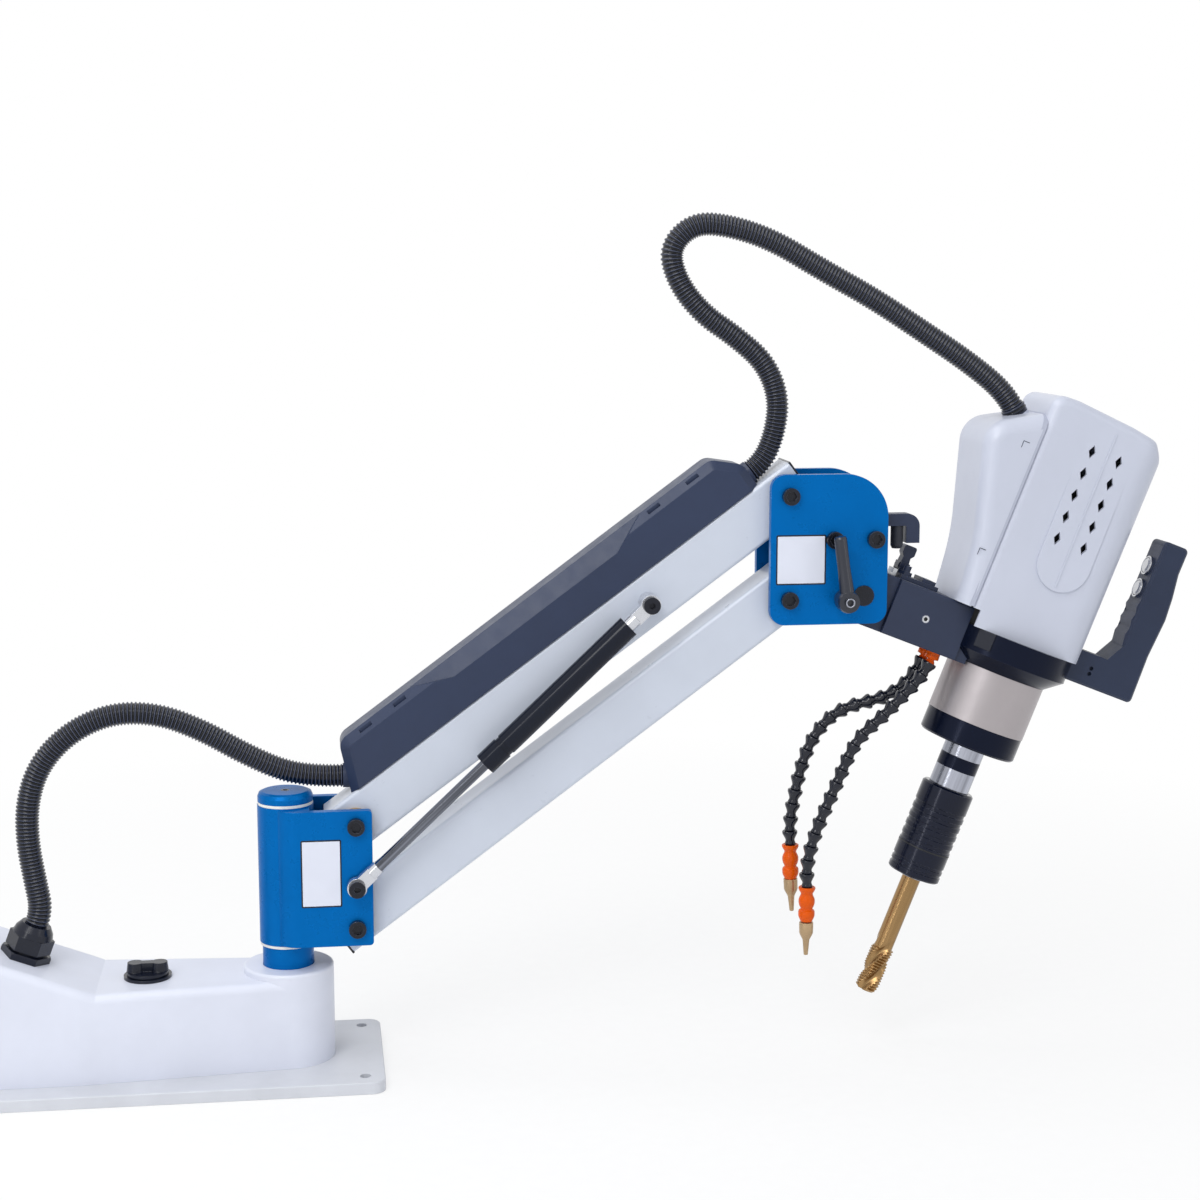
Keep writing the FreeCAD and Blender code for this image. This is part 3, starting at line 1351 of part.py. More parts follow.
tap_line = [
    (0, shank_seat - 2), (dim.shank_radius, shank_seat - 2),
    (dim.shank_radius, dim.shank_bottom), (dim.thread_core, dim.thread_top + 1),
]
thread_count = 15
for number in range(thread_count):
    level = dim.thread_top - dim.thread_pitch * number
    tap_line.append((dim.thread_core, level))
    tap_line.append((dim.thread_radius, level - dim.thread_pitch * 0.5))
tap_line.append((dim.thread_core, dim.thread_top - dim.thread_pitch * thread_count))
tap_line.append((dim.thread_core - 1.5, dim.tap_bottom))
tap_line.append((0, dim.tap_bottom))
tap = turned("tap_body", "", tap_line)
flute_spots = [
    (dim.flute_offset * math.cos(math.radians(turn)), dim.flute_offset * math.sin(math.radians(turn)),
     dim.flute_radius)
    for turn in (45, 135, 225, 315)
]
tap.pocket("XY", tap.circles("XY", flute_spots), dim.tap_bottom - 1, dim.shank_bottom)
keep("tap", tap.body, spindle_frame)

# Front block, cut to the collar it is bolted to

front_start = dim.block_seam + dim.seam_gap
front = Solid("front_body")
front.pad(
    "XZ",
    front.outline("XZ", [(front_start, -high), (dim.front_end, -high), (dim.front_end, high),
                         (front_start, high)]),
    -dim.front_half_width, dim.front_half_width,
)
front.round_edges(2.5, any_of(runs_along("x")))
front.pad("XZ", front.outline("XZ", [
    (dim.front_end - 1, -high), (dim.spindle_out - dim.ring_radius + 6, -high),
    (dim.spindle_out - dim.ring_radius + 6, dim.collar_top), (dim.front_end - 1, dim.collar_top),
]), -dim.front_half_width + 4, dim.front_half_width - 4)
spigot_bore = dim.swivel_radius + dim.running_gap
front.pocket("YZ", front.circles("YZ", [(0, 0, spigot_bore)]), front_start - 1, spigot_end + 1.5)
front.pocket(
    "XZ", front.circles("XZ", [(dim.set_screw_place, 0, dim.set_screw_radius)]),
    -dim.front_half_width - 1, dim.front_half_width + 1,
)
envelope = Solid("envelope_body")
envelope.revolve([
    (0, dim.ring_bottom), (dim.ring_radius, dim.ring_bottom), *collar_profile,
    (dim.collar_radius, dim.collar_top + 60), (0, dim.collar_top + 60),
])
envelope.body.Placement = Placement(Vector(dim.spindle_out.value, 0, 0), Rotation())
bind(envelope.body, "Placement.Base.x", dim.spindle_out)
keep("front_block", cut(front.body, envelope.body), tilt_frame)
screw_tip = dim.swivel_radius - dim.groove_depth + dim.clear_gap
screw_place = (dim.set_screw_place, 0)
keep(
    "retaining_screws",
    group(
        cut(rod("y", dim.set_screw_radius, -dim.front_half_width, -screw_tip, screw_place),
            hexagon("y", dim.set_screw_radius, -dim.front_half_width - 1, -dim.front_half_width + 3,
                    screw_place)),
        rod("y", dim.set_screw_radius, screw_tip, dim.front_half_width, screw_place),
    ),
    tilt_frame,
)

# Latch on the front block

base_top = high + dim.latch_thick
latch_pin = (dim.latch_pin_out, base_top + dim.latch_pin_up)
latch_start = front_start + 2.5
ear_low, ear_high = latch_pin[0] - 5, latch_pin[0] + 5
near_ear = (dim.latch_near - dim.latch_ear - dim.clear_gap, dim.latch_near - dim.clear_gap)
far_ear = (dim.latch_far + dim.clear_gap, dim.latch_far + dim.clear_gap + dim.latch_ear)
stop_at = (dim.bumper_out - dim.tilt_out, -dim.bumper_offset)
keep(
    "latch_base",
    fuse(
        box((latch_start, dim.latch_end), (-dim.latch_half, far_ear[1]), (high, base_top)),
        box((latch_start + 24, dim.latch_end - 3), (-dim.latch_half + 4, far_ear[1] - 4),
            (base_top, base_top + 4)),
        box((ear_low, ear_high), near_ear, (base_top, latch_pin[1] + 4)),
        box((ear_low, ear_high), far_ear, (base_top, latch_pin[1] + 4)),
        rod("y", dim.latch_pin_radius, near_ear[0], far_ear[1], latch_pin),
        rod("z", dim.stop_screw_radius, base_top, base_top + dim.stop_screw, stop_at),
        hexagon("z", dim.stop_screw_radius * 3, base_top, base_top + 4, stop_at),
    ),
    tilt_frame,
)
latch = Solid("latch_body")
centre, middle = latch_pin
head_low, head_high = base_top + dim.latch_top - dim.latch_head, base_top + dim.latch_top
wide, slim = 7, dim.latch_neck
latch.pad("XZ", latch.circles("XZ", [(centre, middle, dim.latch_hub)]), dim.latch_near, dim.latch_far)
latch.pad(
    "XZ",
    latch.outline("XZ", [
        (centre - slim - 1, middle), (centre + slim + 1, middle), (centre + slim, middle + 10),
        (centre + wide, head_low), (centre + wide, head_high), (centre - wide + 0.5, head_high),
        (centre - wide + 0.5, head_low), (centre - slim, middle + 10),
    ]),
    dim.latch_near, dim.latch_far,
)
latch.pocket(
    "XZ", latch.circles("XZ", [(centre, middle, dim.latch_pin_radius + dim.running_gap)]),
    dim.latch_near - 1, dim.latch_far + 1,
)
latch.bevel_edges(1.5, runs_along("y", z=head_high))
keep("latch_lever", latch.body, tilt_frame)

# Hood round the servo motor

side = dim.hood_half_width
face, seam = dim.hood_face, -dim.hood_seam
roof = dim.hood_top
hood = Solid("hood_front_body")
hood_low = dim.collar_top
hood.pad(
    "XZ",
    hood.outline("XZ", [
        (seam, high), (-dim.hood_step, high), (-dim.hood_step, hood_low), (face, hood_low),
        (face, roof - 26), (face - 20, roof - 6), (face - 48, roof - 2), (-44, roof + 2.5),
        (seam, roof + 1),
    ]),
    -side, side,
)
hood.round_edges(dim.hood_back_round, runs_along("y", x=seam, z=roof + 1))
hood.round_edges(dim.hood_front_round, runs_along("z", x=face))
top_band = SIZES["hood_top"] - 27
hood.round_edges(
    dim.hood_edge_round,
    lambda edge: edge.BoundBox.ZMin > top_band and edge.BoundBox.ZMax < SIZES["hood_top"] + 3
    and not (edge.BoundBox.YLength > 60 and edge.BoundBox.XMax < SIZES["hood_face"] - 30)
    and not edge.BoundBox.XMax < -SIZES["hood_seam"] + 0.5,
)
hood_wall = dim.hood_wall
turn_start = face - dim.hood_front_round
half_round = dim.hood_front_round - hood_wall
bulge = 0.7071 * half_round
hood.pocket(
    "XY",
    hood.outline("XY", [
        (seam - 1, hood_wall - side), (turn_start, hood_wall - side),
        (turn_start + bulge, dim.hood_front_round - side - bulge),
        (face - hood_wall, dim.hood_front_round - side), (face - hood_wall, side - dim.hood_front_round),
        (turn_start + bulge, side - dim.hood_front_round + bulge),
        (turn_start, side - hood_wall), (seam - 1, side - hood_wall),
    ]),
    hood_low - 1, roof - 30,
)
hood.pocket(
    "XZ",
    hood.outline("XZ", [
        (seam - 1, roof - 32), (face - 16, roof - 32), (face - 24, roof - 11), (face - 50, roof - 6),
        (-44, roof - 2), (seam + 20, roof - 6), (seam + 10, dim.rear_top_up - 4),
        (seam - 1, dim.rear_top_up - 5),
    ]),
    hood_wall + 7 - side, side - hood_wall - 7,
)
panel_low = dim.panel_bottom + dim.panel_half
panel_left, panel_right = dim.panel_centre - dim.panel_half, dim.panel_centre + dim.panel_half
ridge_left, ridge_right = dim.panel_centre - dim.ridge_half, dim.panel_centre + dim.ridge_half


def slope_off(way, left, right, lift):
    """Slopes what stands proud of one side down to nothing at the panel's flush level."""
    foot_level, flush = dim.panel_bottom - 1, dim.panel_flush
    crest, clear_side = side + dim.panel_proud + lift, side + dim.panel_proud + 3
    hood.pocket(
        "YZ",
        hood.outline("YZ", [(crest * way, foot_level), ((side + lift) * way, flush),
                            ((side + lift) * way, roof), (clear_side * way, roof),
                            (clear_side * way, foot_level)]),
        left - 1, right + 1,
    )


for way in (-1, 1):
    low, top_side = sorted((way * (side - 1), way * (side + dim.panel_proud)), key=lambda size: size.value)
    hood.pad("XZ", hood.circles("XZ", [(dim.panel_centre, panel_low, dim.panel_half)]), low, top_side)
    hood.pad(
        "XZ",
        hood.outline("XZ", [(panel_left, panel_low), (panel_right, panel_low),
                            (panel_right, dim.panel_flush), (panel_left, dim.panel_flush)]),
        low, top_side,
    )
    slope_off(way, panel_left, panel_right, as_size(0))
    ridge_face = way * (side + dim.panel_proud + dim.ridge_proud)
    low, top_side = sorted((way * (side - 1), ridge_face), key=lambda size: size.value)
    hood.pad(
        "XZ",
        hood.outline("XZ", [(ridge_left, dim.panel_bottom + 4), (ridge_right, dim.panel_bottom + 4),
                            (ridge_right, roof - 16), (ridge_left, roof - 16)]),
        low, top_side,
    )
    slope_off(way, ridge_left, ridge_right, dim.ridge_proud)
vents = hood.sketch("XZ")
for column in (-1, 1):
    across = dim.panel_centre - 2 + dim.vent_apart * column
    for number in range(SIZES["vent_count"]):
        level = dim.vent_top - dim.vent_pitch * number
        hood.outline("XZ", [
            (across, level - dim.vent_half_height), (across + dim.vent_half_width, level),
            (across, level + dim.vent_half_height), (across - dim.vent_half_width, level),
        ], vents)
hood.pocket("XZ", vents, -side - 5, side + 5)
keep("hood_front", hood.body, spindle_frame)

rear_hood = Solid("hood_rear_body")
join = seam - dim.seam_line
rear_hood.pad(
    "XZ",
    rear_hood.outline("XZ", [
        (join, high), (-dim.rear_foot, high), (-dim.rear_waist, dim.rear_waist_up),
        (-dim.rear_bulge, dim.rear_bulge_up), (join, dim.rear_top_up),
    ]),
    -side, side,
)
rear_hood.round_edges(dim.rear_bulge_round, runs_along("y", x=-dim.rear_bulge))
rear_hood.round_edges(dim.rear_waist_round, runs_along("y", x=-dim.rear_waist))
rear_hood.round_edges(
    dim.rear_edge_round,
    lambda edge: edge.BoundBox.YLength < 0.01 and edge.BoundBox.XMin < -SIZES["hood_seam"] - 5
    and edge.BoundBox.ZMax > SIZES["block_half_height"] + 1,
)
for inset, half_width in ((4, side - dim.rear_edge_round + 2), (10, side - hood_wall - 3)):
    rear_hood.pocket(
        "XZ",
        rear_hood.outline("XZ", [
            (join + 1, high - 1), (-dim.rear_foot + inset + 1, high - 1),
            (-dim.rear_waist + inset, dim.rear_waist_up + 3),
            (-dim.rear_bulge + inset + 11, dim.rear_bulge_up - inset - 2),
            (join + 1, dim.rear_top_up - inset - 4),
        ]),
        -half_width, half_width,
    )
slope_run = dim.rear_bulge - dim.hood_seam - dim.seam_line
slope_rise = dim.rear_top_up - dim.rear_bulge_up
entry = (slope_run * dim.entry_share - dim.rear_bulge, dim.rear_bulge_up + slope_rise * dim.entry_share)
entry_port = port(entry, dim.entry_turn, dim.entry_proud, dim.entry_inside)
keep("hood_rear", fuse(rear_hood.body, entry_port), spindle_frame)

motor_side = dim.motor_width / 2
motor_top = dim.collar_top + dim.motor_height
motor_low = dim.collar_top
motor = Solid("motor_body")
motor.pad(
    "XY",
    motor.outline("XY", [(-motor_side, -motor_side), (motor_side, -motor_side),
                         (motor_side, motor_side), (-motor_side, motor_side)]),
    motor_low, motor_top,
)
motor.bevel_edges(dim.motor_round, runs_along("z"))
motor.pad(
    "XY",
    motor.outline("XY", [(-motor_side + 8, -motor_side + 8), (motor_side - 8, -motor_side + 8),
                         (motor_side - 8, motor_side - 8), (-motor_side + 8, motor_side - 8)]),
    motor_top, motor_top + dim.motor_cap,
)
keep("servo_motor", motor.body, spindle_frame)

# Handle with its two push buttons

grip = Solid("handle_body")
outer_edge = dim.handle_outer
inner_edge = dim.handle_inner
grip_side = dim.handle_half_width
grip.pad(
    "XZ",
    grip.outline("XZ", [
        (dim.collar_radius - 2.5, dim.handle_bottom), (outer_edge, dim.handle_bottom),
        (outer_edge - 1.5, 46), (outer_edge + 1, 88), (outer_edge - 1, 112), (outer_edge - 5, 138),
        (outer_edge - 5, dim.grip_top), (inner_edge, dim.grip_top), (inner_edge, 46),
        (inner_edge - 10, dim.foot_top), (dim.collar_radius - 2.5, dim.foot_top),
    ]),
    -grip_side, grip_side,
)
grip.round_edges(dim.handle_round, any_of(
    runs_along("y", z=dim.grip_top), runs_along("y", x=outer_edge, z=dim.handle_bottom),
))
grip.bevel_edges(
    2.5, lambda edge: edge.BoundBox.YLength < 0.01 and edge.BoundBox.ZMin > SIZES["foot_top"] + 10
    and edge.BoundBox.XMin > SIZES["handle_outer"] - 12,
)
hood_round = rod("z", dim.collar_radius, dim.handle_bottom - 5, dim.collar_top)
hood_face_block = box((0, face), (-side, side), (dim.collar_top, dim.grip_top / 2))
insert_low, insert_high = dim.insert_low, dim.grip_top - 6
insert_side = grip_side - dim.insert_edge
bore = dim.button_radius + dim.clear_gap
buttons = (dim.button_high, dim.button_low)
keep(
    "handle_body",
    cut(
        grip.body, hood_round, hood_face_block,
        box((inner_edge - 1, inner_edge + dim.insert), (-insert_side, insert_side),
            (insert_low, insert_high)),
        *[rod("x", bore, inner_edge - 1, inner_edge + dim.insert + 9, (0, level)) for level in buttons],
        *[rod("y", 2.2, -grip_side - 1, -grip_side + 4, (90, level)) for level in (13, 7)],
    ),
    spindle_frame,
)
strip = Solid("strip_body")
crest = inner_edge - dim.wave_depth
strip.pad(
    "XZ",
    strip.outline("XZ", [
        (inner_edge + dim.insert, insert_low), (inner_edge + dim.insert, insert_high),
        (inner_edge, insert_high), (inner_edge, 97), (crest, 91), (inner_edge + 0.8, 84),
        (crest, 76), (inner_edge + 0.8, 68), (crest, 60), (inner_edge, insert_low),
    ]),
    -insert_side, insert_side,
)
bezels = [
    rod("x", dim.bezel_radius, inner_edge - dim.bezel, inner_edge + 1, (0, level)) for level in buttons
]
keep(
    "handle_insert",
    cut(
        fuse(strip.body, *bezels),
        *[rod("x", bore, inner_edge - 5, inner_edge + dim.insert + 1, (0, level)) for level in buttons],
    ),
    spindle_frame,
)


def push_button(level):
    """A domed button, pressed towards the outside of the grip."""
    tip = inner_edge - dim.button_proud
    return fuse(
        rod("x", dim.button_radius, tip + 1.2, inner_edge + dim.button_depth, (0, level)),
        taper("x", dim.button_radius - 1.6, dim.button_radius, tip, tip + 1.2, (0, level)),
    )


keep("start_button", push_button(dim.button_high), spindle_frame)
keep("reverse_button", push_button(dim.button_low), spindle_frame)

# Coolant valves and jointed hoses, in the frame of the tilt block

valve_low = -high - dim.valve_length


def ball(radius, side):
    """A ball centred where a hose swings on its valve."""
    item = document.addObject("Part::Sphere", "ball")
    bind(item, "Radius", radius)
    for letter, size in zip("xyz", (dim.valve_out, side, valve_low)):
        bind(item, f"Placement.Base.{letter}", size)
    return item


def valve(side):
    """A screwed-in valve that ends in the ball of its hose."""
    at = (dim.valve_out, side)
    flange_low = -high - dim.valve_flange
    body_low = flange_low - dim.valve_body
    return fuse(
        hexagon("z", dim.valve_radius * 1.8, flange_low, -high, at),
        rod("z", dim.valve_radius, body_low, flange_low, at),
        taper("z", dim.valve_neck_radius, dim.valve_radius, body_low - 1, body_low, at),
        rod("z", dim.valve_neck_radius, valve_low, body_low, at),
        ball(dim.valve_ball_radius, side),
    )


keep("coolant_valves", group(valve(dim.valve_side), valve(-dim.valve_side)), tilt_frame)
hose_top = (SIZES["valve_out"], valve_low.value + SIZES["socket_rim"])
HOSE_FAR = [
    hose_top, (98.7, -56), (94.7, -70.4), (87.5, -83.4), (77.5, -94.3), (65.6, -103.3), (53.3, -111.6),
    (41.8, -120.9), (32.4, -132.4), (26.2, -145.8), (22.5, -160.2), (21.2, -175), (21.7, -189.9),
    (23.3, -204.6), (25.7, -219.3), (28.4, -233.9), (31.9, -248.3), (36.5, -262.5), (42.6, -276),
]
HOSE_FAR_TIP = [(42.6, -276), (57, -310.6), (73.5, -347)]
HOSE_NEAR = [
    hose_top, (98.7, -56), (93.8, -69.6), (88, -83), (82.4, -96.5), (76.6, -109.9), (69.8, -122.8),
    (63.4, -135.7), (59.2, -149.7), (57.6, -164.2), (57.2, -178.8), (56.8, -193.4), (56.4, -208),
    (55.8, -222.6), (55.5, -237.2), (55.7, -251.8), (56.8, -266.4), (59.1, -280.8), (63.2, -294.8),
    (68.9, -308.2),
]
HOSE_NEAR_TIP = [(68.9, -308.2), (82.8, -344.2), (95.9, -377.5)]


def link(start, stop, radius_start, radius_stop, shift):
    """A tapered link between two points of the hose."""
    run, rise = stop[0] - start[0], stop[1] - start[1]
    item = document.addObject("Part::Cone", "link")
    bind(item, "Radius1", radius_start)
    bind(item, "Radius2", radius_stop)
    item.Height = math.hypot(run, rise)
    turn = math.degrees(math.atan2(run, rise))
    item.Placement = Placement(Vector(start[0], 0, start[1]), Rotation(Vector(0, 1, 0), turn))
    bind(item, "Placement.Base.y", shift)
    return item


def part_way(start, stop, share):
    return (start[0] + (stop[0] - start[0]) * share, start[1] + (stop[1] - start[1]) * share)


def hose(points, tip, shift):
    """A jointed coolant hose from the ball of its valve to its nozzle."""
    links = []
    for start, stop in zip(points, points[1:]):
        links.append(link(start, stop, dim.hose_large, dim.hose_small, shift))
    start, neck, mouth = tip
    waist_at, bulge_at = part_way(start, neck, 0.3), part_way(start, neck, 0.55)
    links.append(link(start, waist_at, dim.tip_radius, dim.tip_waist, shift))
    links.append(link(waist_at, bulge_at, dim.tip_waist, dim.tip_radius, shift))
    links.append(link(bulge_at, neck, dim.tip_radius, dim.tip_radius - 0.6, shift))
    shoulder, outlet = part_way(neck, mouth, 0.34), part_way(neck, mouth, 0.55)
    links.append(link(neck, shoulder, dim.nozzle_radius, dim.nozzle_radius - 1, shift))
    links.append(link(shoulder, outlet, dim.nozzle_radius - 1, dim.nozzle_neck, shift))
    links.append(link(outlet, mouth, dim.nozzle_neck, dim.nozzle_end, shift))
    return cut(fuse(*links), ball(dim.valve_ball_radius + dim.running_gap, shift))


keep("coolant_hose_a", hose(HOSE_FAR, HOSE_FAR_TIP, dim.valve_side), tilt_frame)
keep("coolant_hose_b", hose(HOSE_NEAR, HOSE_NEAR_TIP, -dim.valve_side), tilt_frame)

# Corrugated conduits, each along a route of straight runs joined by arcs


def rounded_route(points):
    """The centre line through the route's points, its corners turned into tangent arcs."""
    spots = [Vector(*point) for point in points]
    edges = []
    here = spots[0]
    radii = []
    for before, corner, after in zip(spots, spots[1:], spots[2:]):
        back, ahead = (before - corner), (after - corner)
        shorter = min(back.Length, ahead.Length)
        back_way, ahead_way = Vector(back).normalize(), Vector(ahead).normalize()
        half_turn = (math.pi - back_way.getAngle(ahead_way)) / 2
        trim = 0.45 * shorter
        radius = trim / math.tan(half_turn)
        radii.append(radius)
        first, last = corner + back_way * trim, corner + ahead_way * trim
        to_centre = (back_way + ahead_way).normalize()
        centre = corner + to_centre * (radius / math.cos(half_turn))
        top_point = centre - to_centre * radius
        edges.append(Part.makeLine(here, first))
        edges.append(Part.Arc(first, top_point, last).toShape())
        here = last
    edges.append(Part.makeLine(here, spots[-1]))
    return Part.Wire(edges), radii


def conduit(name, points):
    wire, radii = rounded_route(points)
    start = Vector(*points[0])
    way = Vector(*points[1]) - start
    ring = Part.Wire([Part.makeCircle(SIZES["conduit_radius"], start, way)])
    shape = wire.makePipeShell([ring], True, False)
    item = document.addObject("Part::Feature", name)
    item.Shape = shape
    item.Label = name
    nodes[name] = item
    section = math.pi * SIZES["conduit_radius"] ** 2
    print(f"{name}: length {wire.Length:.1f}, tightest radius {min(radii):.1f}, "
          f"volume over section times length {shape.Volume / section / wire.Length:.4f}")


def spot(frame, along, across, depth):
    out, up = frame.point(as_size(along), as_size(across))
    return (out.value, depth, up.value)


gland_depth = -SIZES["gland_side"]
gland_mouth = spot(gland_frame, 0, gland_top, gland_depth)
gland_lead = spot(gland_frame, 0, gland_top + 15, gland_depth)
port_way = math.radians(SIZES["arm_angle"])
lower_x = lower_port[0].value - SIZES["port_proud"] * math.cos(port_way)
lower_z = lower_port[1].value + SIZES["port_proud"] * math.sin(port_way)
lower_mouth = spot(upper_frame, lower_x, lower_z, 0)
LOWER_ROUTE = [
    gland_mouth, gland_lead, (-249, -10, 206), (-255.5, -10, 248), (-254.5, -10, 290), (-241, -9, 328),
    (-211, -8, 359), (-170, -6.5, 377), (-124, -5, 375), (-80, -3.5, 356), (-40, -2, 331), (0, -0.5, 311),
    (lower_mouth[0] - 21, 0, lower_mouth[2]), lower_mouth,
]
upper_mouth = spot(upper_frame, upper_port[0] + dim.port_proud, upper_port[1], 0)
upper_lead = spot(upper_frame, upper_port[0] + dim.port_proud + 16, upper_port[1], 0)
entry_way = math.radians(90 - SIZES["entry_turn"])


def entry_point(proud):
    """A point on the axis of the hood's port, proud of the port's foot."""
    across = entry[0].value + proud * math.cos(entry_way)
    return spot(spindle_frame, across, entry[1].value + proud * math.sin(entry_way), 0)


hood_mouth = entry_point(SIZES["entry_proud"])
hood_lead = entry_point(SIZES["entry_proud"] + 19)
UPPER_ROUTE = [
    upper_mouth, upper_lead, (504, 0, 650), (507.5, 0, 686), (493, 0, 721), (462, 0, 747.5), (428, 0, 770),
    (402, 0, 802), (393, 0, 836), (418, 0, 861), (455, 0, 858.5), (500, 0, 844), (551, 0, 814.5),
    (606, 0, 785), (657, 0, 752.5), (706, 0, 721), hood_lead, hood_mouth,
]
conduit("conduit_lower", LOWER_ROUTE)
conduit("conduit_upper", UPPER_ROUTE)

# Check and write

document.recompute()
faults = []
for item in document.Objects:
    if any(word in ("Invalid", "Error") for word in item.State):
        faults.append(f"{item.Name} ({item.Label}) {item.State}")
for name, item in nodes.items():
    if item.Shape.isNull() or not item.Shape.isValid() or not item.Shape.Solids:
        faults.append(f"{name} has no sound solid")
if faults:
    raise RuntimeError("; ".join(faults))
os.makedirs("parts", exist_ok=True)
for name, item in nodes.items():
    item.Shape.exportStep(f"parts/{name}.step")
print(f"{len(nodes)} sub-parts written")
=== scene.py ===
import json
import math

import bmesh
import bpy
from mathutils import Matrix, Vector

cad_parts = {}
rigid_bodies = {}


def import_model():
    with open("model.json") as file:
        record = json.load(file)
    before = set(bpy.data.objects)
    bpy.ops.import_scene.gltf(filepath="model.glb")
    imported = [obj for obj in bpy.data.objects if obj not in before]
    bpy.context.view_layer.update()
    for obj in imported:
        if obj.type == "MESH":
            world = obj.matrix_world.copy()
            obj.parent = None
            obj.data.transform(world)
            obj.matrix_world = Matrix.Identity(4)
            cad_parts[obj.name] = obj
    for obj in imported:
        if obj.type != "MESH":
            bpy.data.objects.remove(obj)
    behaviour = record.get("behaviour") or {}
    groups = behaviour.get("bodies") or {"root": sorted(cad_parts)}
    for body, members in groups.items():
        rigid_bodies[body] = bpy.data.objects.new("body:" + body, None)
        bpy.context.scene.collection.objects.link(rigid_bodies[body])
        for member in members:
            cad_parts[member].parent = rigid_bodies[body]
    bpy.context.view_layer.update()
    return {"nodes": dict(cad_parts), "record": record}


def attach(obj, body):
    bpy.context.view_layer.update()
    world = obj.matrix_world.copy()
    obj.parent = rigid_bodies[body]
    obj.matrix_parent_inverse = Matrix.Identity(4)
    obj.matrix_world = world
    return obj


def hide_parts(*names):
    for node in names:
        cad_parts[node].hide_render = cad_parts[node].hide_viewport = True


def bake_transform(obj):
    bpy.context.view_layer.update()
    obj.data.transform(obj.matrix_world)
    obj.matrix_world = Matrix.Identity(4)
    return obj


for left_over in list(bpy.data.objects):
    bpy.data.objects.remove(left_over)
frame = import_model()
nodes = frame["nodes"]

# Metres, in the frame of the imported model: +X along the arms, +Z up, -Y towards the viewer.
MM = 0.001
TILT_REST = math.radians(21.5)
TILT_PIN = Vector((0.59032, 0, 0.48485))
SPINDLE = Vector((0.755005, 0, 0.419982))
ARM_ANGLE = math.radians(36.5)
UP_SPINDLE = Vector((math.sin(TILT_REST), 0, math.cos(TILT_REST)))
GAS_WAY = Vector((0.7269, 0, 0.6867))
TO_VIEWER = (0, -1, 0)

# Materials

BEVEL_SAMPLES = 4
RELIEF_DEPTH = 0.0002
TWO_TONE_BLUR = 0.0002
HIGHLIGHT_BREAKUP_SCALE = 160.0
SMUDGE_RATIO = 4.3
# the values between which each effect sets in
CREST_HIGHLIGHT_SPAN = (0.52, 0.62)
RIM_SPAN = (0.90, 0.995)
HIGHLIGHT_BREAKUP_SPAN = (0.42, 0.62)
SMUDGE_SPAN = (0.25, 0.75)


def add(tree, kind, settings=None, **inputs):
    """A shader node with its settings, and its inputs as values or links; _0 is the first input."""
    node = tree.nodes.new(kind)
    for name, value in (settings or {}).items():
        setattr(node, name, value)
    for name, value in inputs.items():
        socket = node.inputs[int(name[1:]) if name[0] == "_" else name.replace("_", " ")]
        if isinstance(value, bpy.types.NodeSocket):
            tree.links.new(value, socket)
        else:
            socket.default_value = value
    return node


def linear(colour):
    """A colour given as 0-255 display values, as the renderer's linear one."""
    shares = [value / 255 for value in colour]
    return [s / 12.92 if s <= 0.04045 else ((s + 0.055) / 1.055) ** 2.4 for s in shares] + [1.0]


def stretched(tree, along, ratio):
    """Object coordinates pulled out along one direction, for brushed grain and for streaks of painted
    reflection.
    """
    place = add(tree, "ShaderNodeTexCoord").outputs["Object"]
    if along is None:
        return place
    turn = Vector(along).rotation_difference(Vector((0, 0, 1))).to_euler()
    turned = add(tree, "ShaderNodeMapping", Vector=place, Rotation=turn).outputs[0]
    return add(tree, "ShaderNodeMapping", Vector=turned, Scale=(1, 1, 1 / ratio)).outputs[0]


def noise(tree, place, scale, detail=2.0, roughness=0.5):
    """A noise texture's value at a place."""
    return add(
        tree, "ShaderNodeTexNoise", Vector=place, Scale=scale, Detail=detail, Roughness=roughness
    ).outputs["Fac"]


def span(tree, value, low, high, start=0.3, stop=0.7):
    """A value between start and stop, spread from low to high."""
    node = add(
        tree, "ShaderNodeMapRange", Value=value, From_Min=start, From_Max=stop, To_Min=low,
        To_Max=high,
    )
    return node.outputs[0]


def blend_colour(tree, share, first, second):
    """The first colour where share is 0, and the second where it is 1."""
    node = add(tree, "ShaderNodeMix", {"data_type": "RGBA"}, _0=share, _6=first, _7=second)
    return node.outputs[2]


def arithmetic(tree, operation, first, second):
    """The outcome of a math node on two values."""
    return add(tree, "ShaderNodeMath", {"operation": operation}, _0=first, _1=second).outputs[0]


def dot_product(tree, first, second):
    """How far one direction or place lies along another."""
    node = add(tree, "ShaderNodeVectorMath", {"operation": "DOT_PRODUCT"}, _0=first, _1=second)
    return node.outputs["Value"]


def shade(colour, factor):
    """A linear colour times a factor, no brighter than white."""
    return [min(1.0, part * factor) for part in colour[:3]] + [1.0]


FINISHES = {}


